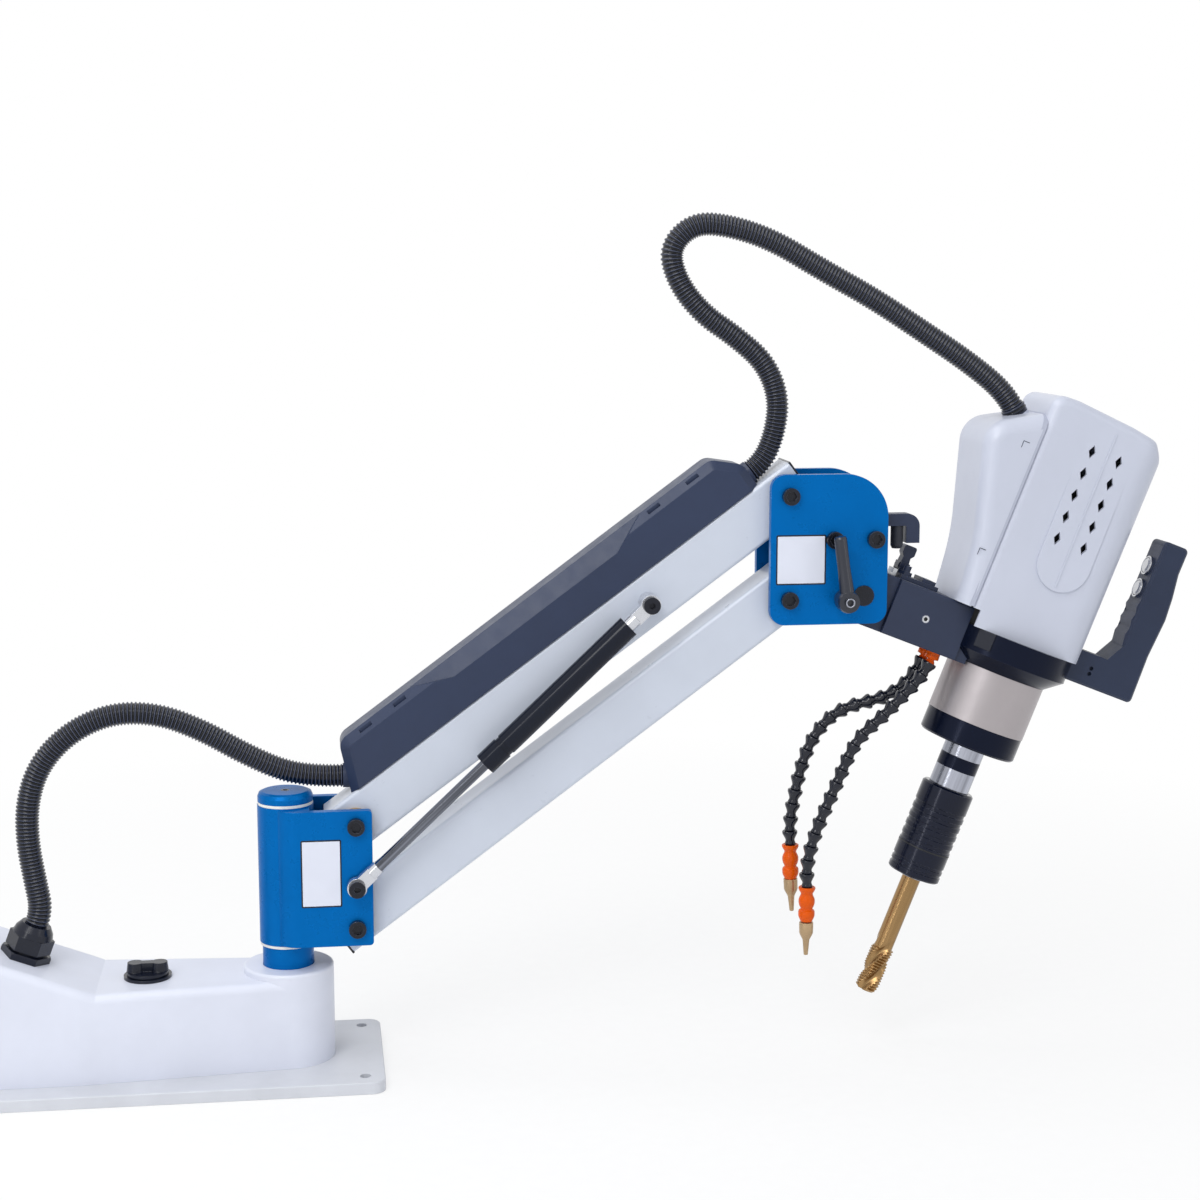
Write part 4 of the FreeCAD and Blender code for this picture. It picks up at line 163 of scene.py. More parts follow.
def finish(
    name, colour, rough=(0.35, 0.45), metal=0.0, mottle_and_reflection=0.06, mottle_and_reflection_scale=14.0, grain=0.1,
    grain_scale=900.0, along=None, ratio=30.0, edge_highlight=0.0, edge_highlight_colour=(210, 212, 215), edge=0.0006,
    coat=0.0, coat_rough=0.1, sheen=0.0, specular=0.5, cells=0.0, cell_scale=500.0,
    beyond=None, reflection_stretch=1.0, crest_highlight=None,
):
    """A painted, moulded, brushed or coated surface with its grain, its tone that varies at random,
    and painted highlights on its edges, broken up by noise.

    beyond is a direction, a level along it in metres, and the colour and metal share past it.
    reflection_stretch pulls the random tone out along the piece into streaks of painted reflection,
    and crest_highlight is the colour of a painted highlight on its ridges.
    """
    material = bpy.data.materials.new(name)
    material.use_nodes = True
    tree = material.node_tree
    tree.nodes.clear()
    place = stretched(tree, along, ratio)
    plain = stretched(tree, None, 1)
    base = linear(colour)
    # Tone that varies at random; pulled out along a piece, it paints streaks of reflection.
    tone_and_reflection = noise(tree, stretched(tree, along, reflection_stretch), mottle_and_reflection_scale, 3.0, 0.6)
    tint = blend_colour(
        tree, span(tree, tone_and_reflection, 0, 1), shade(base, 1 - mottle_and_reflection), shade(base, 1 + mottle_and_reflection)
    )
    if beyond:
        direction, level, far_colour, far_metal = beyond
        reach = dot_product(tree, plain, direction)
        past = span(tree, reach, 0, 1, level - TWO_TONE_BLUR, level + TWO_TONE_BLUR)
        tint = blend_colour(tree, past, tint, linear(far_colour))
        metal = span(tree, past, metal, far_metal, 0, 1)
    fine = noise(tree, place, grain_scale, 2.0, 0.55)
    smudge = noise(tree, plain, mottle_and_reflection_scale * SMUDGE_RATIO, 4.0, 0.65)
    roughness = span(tree, smudge, *rough, *SMUDGE_SPAN)
    rounded = add(tree, "ShaderNodeBevel", {"samples": BEVEL_SAMPLES}, Radius=edge).outputs[0]
    # Ridges picked out by their pointiness in a lighter colour: a painted highlight.
    if crest_highlight:
        bulge = add(tree, "ShaderNodeNewGeometry").outputs["Pointiness"]
        tint = blend_colour(tree, span(tree, bulge, 0, 1, *CREST_HIGHLIGHT_SPAN), tint, linear(crest_highlight))
    # Lighter edges broken up by noise: a painted highlight.
    if edge_highlight:
        facing = add(tree, "ShaderNodeNewGeometry").outputs["Normal"]
        rim = span(tree, dot_product(tree, rounded, facing), 1.0, 0.0, *RIM_SPAN)
        broken = span(tree, noise(tree, plain, HIGHLIGHT_BREAKUP_SCALE, 4.0, 0.7), 0.0, edge_highlight, *HIGHLIGHT_BREAKUP_SPAN)
        tint = blend_colour(tree, arithmetic(tree, "MULTIPLY", rim, broken), tint, linear(edge_highlight_colour))
    height = fine
    if cells:
        spots = add(
            tree, "ShaderNodeTexVoronoi", {"feature": "SMOOTH_F1"}, Vector=plain, Scale=cell_scale
        ).outputs["Distance"]
        height = add(
            tree, "ShaderNodeMath", {"operation": "MULTIPLY_ADD"}, _0=spots, _1=cells, _2=fine
        ).outputs[0]
    relief = add(
        tree, "ShaderNodeBump", Strength=grain, Distance=RELIEF_DEPTH, Height=height, Normal=rounded
    ).outputs[0]
    shader = add(
        tree, "ShaderNodeBsdfPrincipled", Base_Color=tint, Roughness=roughness, Normal=relief,
        Metallic=metal,
    )
    shader.inputs["Coat Weight"].default_value = coat
    shader.inputs["Coat Roughness"].default_value = coat_rough
    shader.inputs["Sheen Weight"].default_value = sheen
    shader.inputs["Specular IOR Level"].default_value = specular
    output = add(tree, "ShaderNodeOutputMaterial")
    tree.links.new(shader.outputs[0], output.inputs[0])
    FINISHES[name] = material


# the dark screw in the arm's boss, and the pale eyes at the gas spring's two ends
BOSS_SCREW = (TO_VIEWER, 0.0519, (26, 28, 38), 0.5)
EYE_METAL = ((206, 208, 214), 0.85)
ROD_EYE = (-GAS_WAY, -0.2182, *EYE_METAL)
CYLINDER_EYE = (GAS_WAY, 0.5674, *EYE_METAL)

finish("foot_paint", (205, 207, 213), (0.38, 0.5), grain=0.25, grain_scale=700)
finish("pale_moulding", (218, 221, 233), (0.34, 0.44), mottle_and_reflection=0.03, grain=0.18, grain_scale=1100)
finish(
    "black_nylon", (14, 19, 34), (0.16, 0.28), grain=0.2, grain_scale=1300, coat=0.15, edge=0.0012,
    specular=0.3,
)
finish("drive_case", (170, 172, 176), (0.3, 0.4), 1.0, along=(1, 0, 0))
# The strong streaks pulled out along the spindle are painted reflections on the steel.
finish(
    "ground_steel", (160, 163, 174), (0.14, 0.24), 1.0, grain=0.12, grain_scale=1500, ratio=0.02,
    along=UP_SPINDLE, reflection_stretch=60, mottle_and_reflection=0.5, mottle_and_reflection_scale=85,
)
# Its lighter rims are a painted highlight on the screw heads.
finish(
    "black_oxide", (21, 24, 34), (0.2, 0.32), 0.4, mottle_and_reflection=0.2, mottle_and_reflection_scale=90, edge_highlight=0.9,
    edge_highlight_colour=(92, 95, 108), edge=0.0009,
)
finish("cream_nylon", (232, 230, 224), (0.4, 0.5))
# Its lighter blue edges are a painted highlight.
finish(
    "blue_paint", (0, 100, 173), (0.24, 0.34), 0.25, mottle_and_reflection=0.04, grain=0.12, grain_scale=420,
    edge_highlight=0.2, edge_highlight_colour=(60, 150, 210), edge=0.0008, specular=0.05,
)
finish("bronze", (186, 150, 92), (0.25, 0.35), 1.0)
finish(
    "arm_paint", (197, 203, 215), (0.26, 0.36), mottle_and_reflection=0.025, grain=0.1, grain_scale=500,
    along=(math.cos(ARM_ANGLE), 0, math.sin(ARM_ANGLE)), ratio=6, coat=0.2, edge=0.001,
)
finish(
    "slate_moulding", (40, 51, 77), (0.32, 0.46), mottle_and_reflection=0.08, grain=0.4, grain_scale=1200,
    specular=0.35,
)
finish("boss_paint", (186, 190, 200), (0.3, 0.4), 0.3, beyond=BOSS_SCREW)
# The rod's dark tone and the streaks pulled out along it are painted reflections.
finish(
    "rod_steel", (104, 107, 116), (0.08, 0.16), 1.0, grain=0.04, grain_scale=900, ratio=0.05,
    along=GAS_WAY, reflection_stretch=60, mottle_and_reflection=0.7, mottle_and_reflection_scale=240, beyond=ROD_EYE,
)
finish(
    "black_gloss", (14, 20, 34), (0.12, 0.2), grain=0.05, grain_scale=300, coat=0.15,
    coat_rough=0.05, specular=0.15, beyond=CYLINDER_EYE,
)
# Its lighter edges are a painted highlight.
finish(
    "slate_paint", (38, 47, 70), (0.32, 0.46), mottle_and_reflection=0.1, grain=0.35, grain_scale=800, edge_highlight=0.3,
    edge_highlight_colour=(110, 118, 138), specular=0.35,
)
finish(
    "slate_grip", (37, 47, 70), (0.36, 0.5), mottle_and_reflection=0.08, grain=0.5, grain_scale=1000, specular=0.3
)
finish(
    "grip_insert", (46, 54, 76), (0.42, 0.54), mottle_and_reflection=0.1, grain=0.6, cells=2.0, cell_scale=900
)
finish("bumper_rubber", (24, 28, 40), (0.5, 0.65), grain=0.4, sheen=0.2)
finish("light_metal", (202, 204, 208), (0.28, 0.4), 0.9, grain=0.2)
finish("lever_black", (28, 32, 45), (0.24, 0.36), grain=0.2, coat=0.2)
# Its lighter edges are a painted highlight.
finish(
    "black_anodised", (9, 17, 37), (0.16, 0.26), 0.4, mottle_and_reflection=0.08, grain=0.1, grain_scale=1400,
    along=UP_SPINDLE, ratio=0.03, edge_highlight=0.2, edge_highlight_colour=(120, 126, 140), edge=0.0005, specular=0.2,
)
finish(
    "champagne", (167, 161, 163), (0.34, 0.44), 0.75, mottle_and_reflection=0.04, grain=0.25, grain_scale=1400,
    along=UP_SPINDLE, ratio=0.03,
)
finish("gearbox_steel", (150, 150, 152), (0.3, 0.4), 1.0)
finish("motor_case", (60, 60, 64), (0.4, 0.5), 0.5)
finish(
    "lilac_white", (196, 200, 214), (0.3, 0.4), mottle_and_reflection=0.02, grain=0.22, grain_scale=1000, coat=0.1,
    edge=0.0002,
)
finish("button_metal", (200, 201, 205), (0.18, 0.28), 1.0, grain=0.1, grain_scale=1600)
finish(
    "valve_orange", (221, 86, 0), (0.24, 0.34), grain=0.1, coat=0.1, specular=0.15, edge=0.0004
)
finish(
    "hose_black", (14, 18, 32), (0.1, 0.2), grain=0.08, coat=0.3, coat_rough=0.06, edge=0.0003,
    specular=0.3,
)
# A lilac darker than the hood's: painted shade for the seam line.
finish("hood_joint", (176, 180, 196), (0.4, 0.5), edge=0.0001)
# Its lighter edges are a painted highlight.
finish(
    "sleeve_black", (13, 19, 38), (0.14, 0.24), 0.3, mottle_and_reflection=0.1, grain=0.12, coat=0.15,
    edge_highlight=0.35, edge_highlight_colour=(150, 155, 170), edge=0.0004, specular=0.25,
)
# The streaks pulled out along the tap are painted reflections.
finish(
    "tap_gold", (152, 122, 83), (0.22, 0.34), 1.0, mottle_and_reflection=0.3, mottle_and_reflection_scale=130, reflection_stretch=40,
    grain=0.08, grain_scale=900, along=UP_SPINDLE, ratio=12, edge=0.0003,
)
# Its lighter ridges are a painted highlight.
finish(
    "conduit_black", (6, 8, 16), (0.14, 0.24), grain=0.1, coat=0.15, coat_rough=0.12,
    edge=0.0002, specular=0.3, crest_highlight=(84, 92, 118),
)
finish(
    "nozzle_brass", (176, 150, 116), (0.26, 0.36), 0.7, mottle_and_reflection=0.1, mottle_and_reflection_scale=60, grain=0.15
)
# Near black: painted shade in the sleeve's joint, and the retaining screw's black with painted shade
# in its socket.
finish("black_and_painted_shade", (6, 8, 14), (0.4, 0.5))

for part in frame["record"]["subparts"]:
    shown = nodes[part["node"]]
    shown.data.materials.clear()
    shown.data.materials.append(FINISHES[part["material_slot"]])

# Mesh helpers


def new_piece(name, mesh, slot_name, smooth=40, finish_name=None):
    """A finished piece from a bmesh, shaded smooth up to an angle."""
    data = bpy.data.meshes.new(name)
    bmesh.ops.recalc_face_normals(mesh, faces=mesh.faces)
    for face in mesh.faces:
        face.smooth = True
    limit = math.radians(smooth)
    for edge in mesh.edges:
        edge.smooth = edge.calc_face_angle(0) < limit
    mesh.to_mesh(data)
    mesh.free()
    piece = bpy.data.objects.new(name, data)
    bpy.context.scene.collection.objects.link(piece)
    data.materials.append(FINISHES[finish_name or slot_name])
    return piece


def axes_of(way):
    """Two directions square to a way."""
    way = Vector(way).normalized()
    side = way.cross(Vector((0, 1, 0)))
    if side.length < 0.1:
        side = way.cross(Vector((1, 0, 0)))
    side.normalize()
    return side, way.cross(side).normalized()


def join_rings(mesh, rings, looped=False):
    """Skins a row of vertex rings, and closes its ends unless the row is looped."""
    following = rings[1:] + rings[:1] if looped else rings[1:]
    for lower, upper in zip(rings, following):
        for n in range(len(lower)):
            m = (n + 1) % len(lower)
            mesh.faces.new((lower[n], lower[m], upper[m], upper[n]))
    if not looped:
        mesh.faces.new(rings[0][::-1])
        mesh.faces.new(rings[-1])


def lathe(mesh, foot, way, profile, sides, looped=False):
    """Turns radius and height pairs, in millimetres, about a line from foot along way."""
    side, up = axes_of(way)
    way = Vector(way).normalized()
    rings = []
    for radius, height in profile:
        centre = Vector(foot) + way * height * MM
        rings.append([
            mesh.verts.new(centre + (side * math.cos(t) + up * math.sin(t)) * radius * MM)
            for t in (2 * math.pi * n / sides for n in range(sides))
        ])
    join_rings(mesh, rings, looped)


def prism(mesh, point, outline, near, far):
    """A flat piece between two depths, from across and up pairs that point places."""
    front = [mesh.verts.new(point(x, near, z)) for x, z in outline]
    back = [mesh.verts.new(point(x, far, z)) for x, z in outline]
    join_rings(mesh, [front, back])


def rounded_outline(left, low, right, high, radius, steps=6):
    """Across and up pairs round a rectangle with rounded corners."""
    corners = (
        (right - radius, high - radius, 0), (left + radius, high - radius, 90),
        (left + radius, low + radius, 180), (right - radius, low + radius, 270),
    )
    return [
        (x + radius * math.cos(t), z + radius * math.sin(t))
        for x, z, start in corners
        for t in (math.radians(start + 90 * n / steps) for n in range(steps + 1))
    ]


def leaning(origin):
    """A function from a place in the head's leaning frame, in millimetres, to the world."""
    along = Vector((math.cos(TILT_REST), 0, -math.sin(TILT_REST)))

    def point(x, y, z):
        return origin + (along * x + Vector((0, 1, 0)) * y + UP_SPINDLE * z) * MM

    return point


on_block = leaning(TILT_PIN)
on_spindle = leaning(SPINDLE)


def upright(x, y, z):
    """A place in the model's own frame, in millimetres, as one in the world."""
    return Vector((x, y, z)) * MM


# Camera, floor and light, before the pieces

CAMERA_YAW, CAMERA_PITCH = math.radians(7.8), math.radians(8.5)
CAMERA_PLACE = (0.0278, -2.1572, 0.8055)
CAMERA_LENS, CAMERA_SENSOR = 64.5, 36
CAMERA_CLIP = (0.05, 60)
FLOOR_PLACE = (0.3, 0, -0.0005)
FLOOR_RADIUS = 14
# the floor's share of plain white near and far, and the distances between which it changes
FLOOR_WHITE = (0.72, 1.0)
FLOOR_FADE = (0.4, 1.6)
LIGHT_TARGET = Vector((0.35, 0, 0.4))
# name, place, size and power
LIGHTS = (
    ("key", (-0.9, -2.2, 2.4), (1.6, 1.0), 30),
    ("strip", (-1.5, -2.1, 0.9), (0.14, 1.8), 6),
    ("fill", (2.4, -1.8, 1.0), (0.3, 1.8), 4),
    ("top", (-0.6, -0.2, 2.7), (2.6, 1.2), 28),
)


def make_camera():
    """The photograph's view: a long lens from the left of the head, a little above it."""
    yaw, pitch = CAMERA_YAW, CAMERA_PITCH
    level = math.cos(pitch)
    ahead = Vector((math.sin(yaw) * level, math.cos(yaw) * level, -math.sin(pitch)))
    right = Vector((math.cos(yaw), -math.sin(yaw), 0))
    up = right.cross(ahead)
    data = bpy.data.cameras.new("camera")
    data.sensor_width = CAMERA_SENSOR
    data.lens = CAMERA_LENS
    data.clip_start, data.clip_end = CAMERA_CLIP
    camera = bpy.data.objects.new("camera", data)
    turn = Matrix((right, up, -ahead)).transposed()
    camera.matrix_world = Matrix.Translation(CAMERA_PLACE) @ turn.to_4x4()
    bpy.context.scene.collection.objects.link(camera)
    bpy.context.scene.camera = camera


def area_light(name, place, size, power):
    """A white rectangular light that faces the machine."""
    data = bpy.data.lights.new(name, "AREA")
    data.shape = "RECTANGLE"
    data.size, data.size_y = size
    data.energy = power
    light = bpy.data.objects.new(name, data)
    light.location = place
    light.rotation_mode = "QUATERNION"
    light.rotation_quaternion = (LIGHT_TARGET - Vector(place)).to_track_quat("-Z", "Y")
    bpy.context.scene.collection.objects.link(light)


def looked_at(tree):
    """1 for the camera's rays, mirrored ones and those through glass, and 0 for light itself."""
    path = add(tree, "ShaderNodeLightPath").outputs
    mirrored = arithmetic(tree, "MAXIMUM", path["Is Glossy Ray"], path["Is Transmission Ray"])
    return arithmetic(tree, "MAXIMUM", path["Is Camera Ray"], mirrored)


def floor_material():
    """White paper that keeps a soft shadow and turns plain white away from the machine."""
    material = bpy.data.materials.new("floor_pale")
    material.use_nodes = True
    tree = material.node_tree
    tree.nodes.clear()
    place = add(tree, "ShaderNodeTexCoord").outputs["Object"]
    far = add(tree, "ShaderNodeVectorMath", {"operation": "LENGTH"}, _0=place).outputs["Value"]
    share = span(tree, far, *FLOOR_WHITE, *FLOOR_FADE)
    white = arithmetic(tree, "MULTIPLY", share, looked_at(tree))
    fibre = noise(tree, place, 60.0, 4.0)
    tint = blend_colour(tree, fibre, linear((240, 240, 241)), linear((250, 250, 250)))
    paper = add(tree, "ShaderNodeBsdfPrincipled", Base_Color=tint, Roughness=0.8)
    plain = add(tree, "ShaderNodeEmission", Color=(1, 1, 1, 1), Strength=1.0)
    mixed = add(tree, "ShaderNodeMixShader", _0=white, _1=paper.outputs[0], _2=plain.outputs[0])
    tree.links.new(mixed.outputs[0], add(tree, "ShaderNodeOutputMaterial").inputs[0])
    return material


def make_stage():
    """A pale floor that runs out to a pale surround, and soft studio light."""
    floor = bmesh.new()
    bmesh.ops.create_circle(floor, cap_ends=True, segments=96, radius=FLOOR_RADIUS)
    data = bpy.data.meshes.new("floor")
    floor.to_mesh(data)
    floor.free()
    ground = bpy.data.objects.new("floor", data)
    ground.location = FLOOR_PLACE
    bpy.context.scene.collection.objects.link(ground)
    data.materials.append(floor_material())
    world = bpy.data.worlds.new("surround")
    world.use_nodes = True
    tree = world.node_tree
    tree.nodes.clear()
    glow = add(tree, "ShaderNodeBackground", Color=(0.93, 0.96, 1.0, 1), Strength=0.6)
    seen = add(tree, "ShaderNodeBackground", Color=(1, 1, 1, 1), Strength=1.0)
    either = add(
        tree, "ShaderNodeMixShader", _0=looked_at(tree), _1=glow.outputs[0], _2=seen.outputs[0]
    )
    tree.links.new(either.outputs[0], add(tree, "ShaderNodeOutputWorld").inputs[0])
    bpy.context.scene.world = world
    for light in LIGHTS:
        area_light(*light)


make_camera()
make_stage()

# Corrugated conduits: the points that control each route, in metres

LOWER_ROUTE = [
    (-0.24966, -0.01, 0.16431), (-0.24431, -0.01, 0.17832), (-0.249, -0.01, 0.206),
    (-0.2555, -0.01, 0.248), (-0.2545, -0.01, 0.29), (-0.241, -0.009, 0.328), (-0.211, -0.008, 0.359),
    (-0.17, -0.0065, 0.377), (-0.124, -0.005, 0.375), (-0.08, -0.0035, 0.356), (-0.04, -0.002, 0.331),
    (0.0, -0.0005, 0.311), (0.03771, 0.0, 0.30492), (0.05871, 0.0, 0.30492),
]
UPPER_ROUTE = [
    (0.47846, 0.0, 0.61007), (0.49133, 0.0, 0.61959), (0.504, 0.0, 0.65), (0.5075, 0.0, 0.686),
    (0.493, 0.0, 0.721), (0.462, 0.0, 0.7475), (0.428, 0.0, 0.77), (0.402, 0.0, 0.802),
    (0.393, 0.0, 0.836), (0.418, 0.0, 0.861), (0.455, 0.0, 0.8585), (0.5, 0.0, 0.844),
    (0.551, 0.0, 0.8145), (0.606, 0.0, 0.785), (0.657, 0.0, 0.7525), (0.706, 0.0, 0.721),
    (0.74557, 0.0, 0.69038), (0.75507, 0.0, 0.67393),
]
CONDUIT_WIDTH = 0.0236
CONDUIT_SIDES = 28
RING_PITCH = 0.0037
# share of the pitch, and depth below the crest
RING_PROFILE = [
    (0.0, 0.0015), (0.28, 0.0014), (0.44, 0.0002), (0.58, 0.0), (0.72, 0.0002), (0.9, 0.0014),
]
# how far to each side a line is sampled for its direction
WAY_REACH = 0.002


def smooth_line(points):
    """The smooth line that a route's points control."""
    curve = bpy.data.curves.new("route", "CURVE")
    curve.dimensions = "3D"
    spline = curve.splines.new("NURBS")
    spline.points.add(len(points) - 1)
    for knot, point in zip(spline.points, points):
        knot.co = (*point, 1)
    spline.order_u = 3
    spline.use_endpoint_u = True
    spline.resolution_u = 24
    holder = bpy.data.objects.new("route", curve)
    mesh = bpy.data.meshes.new_from_object(holder)
    line = [vertex.co.copy() for vertex in mesh.vertices]
    bpy.data.meshes.remove(mesh)
    bpy.data.objects.remove(holder)
    bpy.data.curves.remove(curve)
    return line


class Line:
    """A line measured along its length."""

    def __init__(self, points):
        self.points = points
        self.marks = [0.0]
        for before, after in zip(points, points[1:]):
            self.marks.append(self.marks[-1] + (after - before).length)
        self.length = self.marks[-1]

    def at(self, far):
        far = min(max(far, 0.0), self.length)
        number = 1
        while number < len(self.marks) - 1 and self.marks[number] < far:
            number += 1
        low, high = self.marks[number - 1], self.marks[number]
        share = (far - low) / (high - low)
        return self.points[number - 1].lerp(self.points[number], share)

    def way(self, far):
        return (self.at(far + WAY_REACH) - self.at(far - WAY_REACH)).normalized()


def corrugated(name, line, start, stop):
    """A ringed tube along part of a line, and the centres of its rings."""
    mesh = bmesh.new()
    centres = []
    rings = []
    count = round((stop - start) / RING_PITCH)
    pitch = (stop - start) / count
    stations = [
        (start + (number + share) * pitch, CONDUIT_WIDTH / 2 - depth)
        for number in range(count) for share, depth in RING_PROFILE
    ]
    stations.append((stop, CONDUIT_WIDTH / 2 - RING_PROFILE[0][1]))
    side = axes_of(line.way(start))[0]
    for far, radius in stations:
        way = line.way(far)
        side = (side - way * side.dot(way)).normalized()
        up = way.cross(side)
        centre = line.at(far)
        centres.append(tuple(centre))
        rings.append([
            mesh.verts.new(centre + (side * math.cos(t) + up * math.sin(t)) * radius)
            for t in (2 * math.pi * n / CONDUIT_SIDES for n in range(CONDUIT_SIDES))
        ])
    join_rings(mesh, rings)
    return new_piece(name, mesh, "conduit_black", 60), centres


def conduit(node, route, stretches):
    """One conduit as a run of ringed lengths along one smooth line.

    A length is its name, its two bodies, and the shares of the conduit at which it starts, starts
    to bend and stops. The two bodies and the share at which it starts to bend are not used.
    """
    line = Line(smooth_line(route))
    for name, first, second, *shares in stretches:
        low, bend, high = (share * line.length for share in shares)
        piece, centres = corrugated(name, line, low, high)
        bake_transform(piece)
        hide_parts(node)


conduit("conduit_lower", LOWER_ROUTE, [
    ("conduit_lower_rear", "base", "swivel_yoke", 0.0, 0.0, 0.62),
    ("conduit_lower_front", "swivel_yoke", "upper_arm", 0.62, 0.93, 1.0),
])
conduit("conduit_upper", UPPER_ROUTE, [
    ("conduit_upper_rear", "upper_arm", "head", 0.0, 0.0, 0.42),
    ("conduit_upper_middle", "head", "tilt", 0.42, 0.42, 0.72),
    ("conduit_upper_front", "tilt", "tapping_head", 0.72, 0.72, 1.0),
])

# Jointed coolant hoses: link ends in the tilt block's frame, in millimetres

HOSE_SIDE = 13
HOSE_FAR = [
    (101, -41.5), (98.7, -56), (94.7, -70.4), (87.5, -83.4), (77.5, -94.3), (65.6, -103.3),
    (53.3, -111.6), (41.8, -120.9), (32.4, -132.4), (26.2, -145.8), (22.5, -160.2), (21.2, -175),
    (21.7, -189.9), (23.3, -204.6), (25.7, -219.3), (28.4, -233.9), (31.9, -248.3), (36.5, -262.5),
    (42.6, -276), (57, -310.6), (73.5, -347),
]
HOSE_NEAR = [
    (101, -41.5), (98.7, -56), (93.8, -69.6), (88, -83), (82.4, -96.5), (76.6, -109.9), (69.8, -122.8),
    (63.4, -135.7), (59.2, -149.7), (57.6, -164.2), (57.2, -178.8), (56.8, -193.4), (56.4, -208),
    (55.8, -222.6), (55.5, -237.2), (55.7, -251.8), (56.8, -266.4), (59.1, -280.8), (63.2, -294.8),
    (68.9, -308.2), (82.8, -344.2), (95.9, -377.5),
]
# radius, and distance from the wide end; the socket inside the rim comes first
LINK_PROFILE = [
    (5.4, 6.4), (5.4, 1.2), (7.3, 0.1), (7.9, 0.5), (8.15, 1.3), (8.1, 2.8), (7.5, 4.3), (6.1, 7.0),
    (5.1, 9.2), (4.8, 10.6), (5.1, 11.6), (5.6, 12.8), (5.6, 14.4), (4.8, 15.8),
]
TIP_PROFILE = [
    (5.4, 6.4), (5.4, 1.2), (7.8, 0.2), (8.8, 0.8), (9.0, 2.2), (8.2, 4.2), (6.7, 6.6), (6.3, 8.0),
    (6.6, 9.4), (7.9, 12.0), (8.6, 14.2), (8.6, 17.4), (7.8, 20.6), (6.6, 22.9), (6.4, 23.8),
    (6.6, 24.6), (8.2, 25.8), (8.7, 27.4), (8.7, 31.2), (8.2, 33.2), (6.8, 36.2), (6.2, 37.6),
]
NOZZLE_PROFILE = [
    (6.0, 0.0), (7.2, 0.2), (7.5, 1.0), (7.3, 1.8), (7.5, 2.6), (7.3, 11.6), (6.6, 13.6), (4.2, 18.2),
    (3.6, 19.8), (3.2, 24.0), (2.3, 35.4), (2.0, 35.8), (1.2, 35.8), (1.2, 30.0),
]


def jointed_hose(name, body, node, side, points):
    """The ball-jointed links, the moulded end and the turned nozzle of one coolant hose."""
    *link_ends, tip_start, nozzle_start, nozzle_end = [on_block(x, side, z) for x, z in points]
    links, tip, nozzle = bmesh.new(), bmesh.new(), bmesh.new()
    for start, stop in zip(link_ends, [*link_ends[1:], tip_start]):
        lathe(links, start, stop - start, LINK_PROFILE, 24)
    lathe(tip, tip_start, nozzle_start - tip_start, TIP_PROFILE, 28)
    lathe(nozzle, nozzle_start, nozzle_end - nozzle_start, NOZZLE_PROFILE, 28)
    for piece in (
        new_piece(f"{name}_links", links, "hose_black", 35),
        new_piece(f"{name}_end", tip, "valve_orange", 35),
        new_piece(f"{name}_nozzle", nozzle, "bronze", 35, "nozzle_brass"),
    ):
        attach(piece, body)
        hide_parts(node)


jointed_hose("hose_far", "hose_far", "coolant_hose_a", HOSE_SIDE, HOSE_FAR)
jointed_hose("hose_near", "hose_near", "coolant_hose_b", -HOSE_SIDE, HOSE_NEAR)

# Spiral-fluted tap: radii, and levels along the spindle's line, in millimetres

TAP_SIDES = 108
SHANK_LEVELS = [-205, -262, -300, -326, -328, -330, -332, -334, -336, -338, -340, -342, -344, -345]
SHANK_RADIUS, FULL_RADIUS, FOOT_RADIUS, END_RADIUS = 10.0, 12.3, 10.2, 9.0
THREAD_TOP, THREAD_FIRST, THREAD_FOOT, TAP_END = -345, -345.8, -393.0, -394.5
THREAD_PITCH, THREAD_ROOT, THREAD_HEIGHT, THREAD_FLANK = 3.1, 10.4, 1.9, 2.6
FLUTE_TOP, FLUTE_RUNOUT, FLUTE_LEAD, FLUTE_DEPTH = -327, 20, 104.0, 5.2
FLUTE_HALF_WIDTH = math.radians(34)
FLUTE_SPACING = 2 * math.pi / 3
# a level, and the angle of one flute's middle there
FLUTE_LEVEL, FLUTE_TURN = -362, math.radians(-36)


def flute_depth(turn, level):
    """How far the three flutes cut into the tap's full width at an angle and a level."""
    middle = 2 * math.pi * (level - FLUTE_LEVEL) / FLUTE_LEAD + FLUTE_TURN
    off = (turn - middle + FLUTE_SPACING / 2) % FLUTE_SPACING - FLUTE_SPACING / 2
    if abs(off) > FLUTE_HALF_WIDTH:
        return 0.0
    runout = min(1.0, max(0.0, (FLUTE_TOP - level) / FLUTE_RUNOUT))
    return FLUTE_DEPTH * runout ** 0.6 * math.cos(math.pi / 2 * off / FLUTE_HALF_WIDTH) ** 0.75


def tap_radius(turn, level):
    """The tap's radius at an angle and a level, with its thread and its flutes."""
    radius = SHANK_RADIUS
    if level < THREAD_TOP:
        rise = ((THREAD_TOP - level) / THREAD_PITCH - turn / (2 * math.pi)) % 1.0
        radius = THREAD_ROOT + THREAD_HEIGHT * min(1.0, THREAD_FLANK * (0.5 - abs(rise - 0.5)))
    if level <= THREAD_FOOT:
        radius = FOOT_RADIUS
    if level <= TAP_END:
        radius = END_RADIUS
    return min(radius, FULL_RADIUS - flute_depth(turn, level))


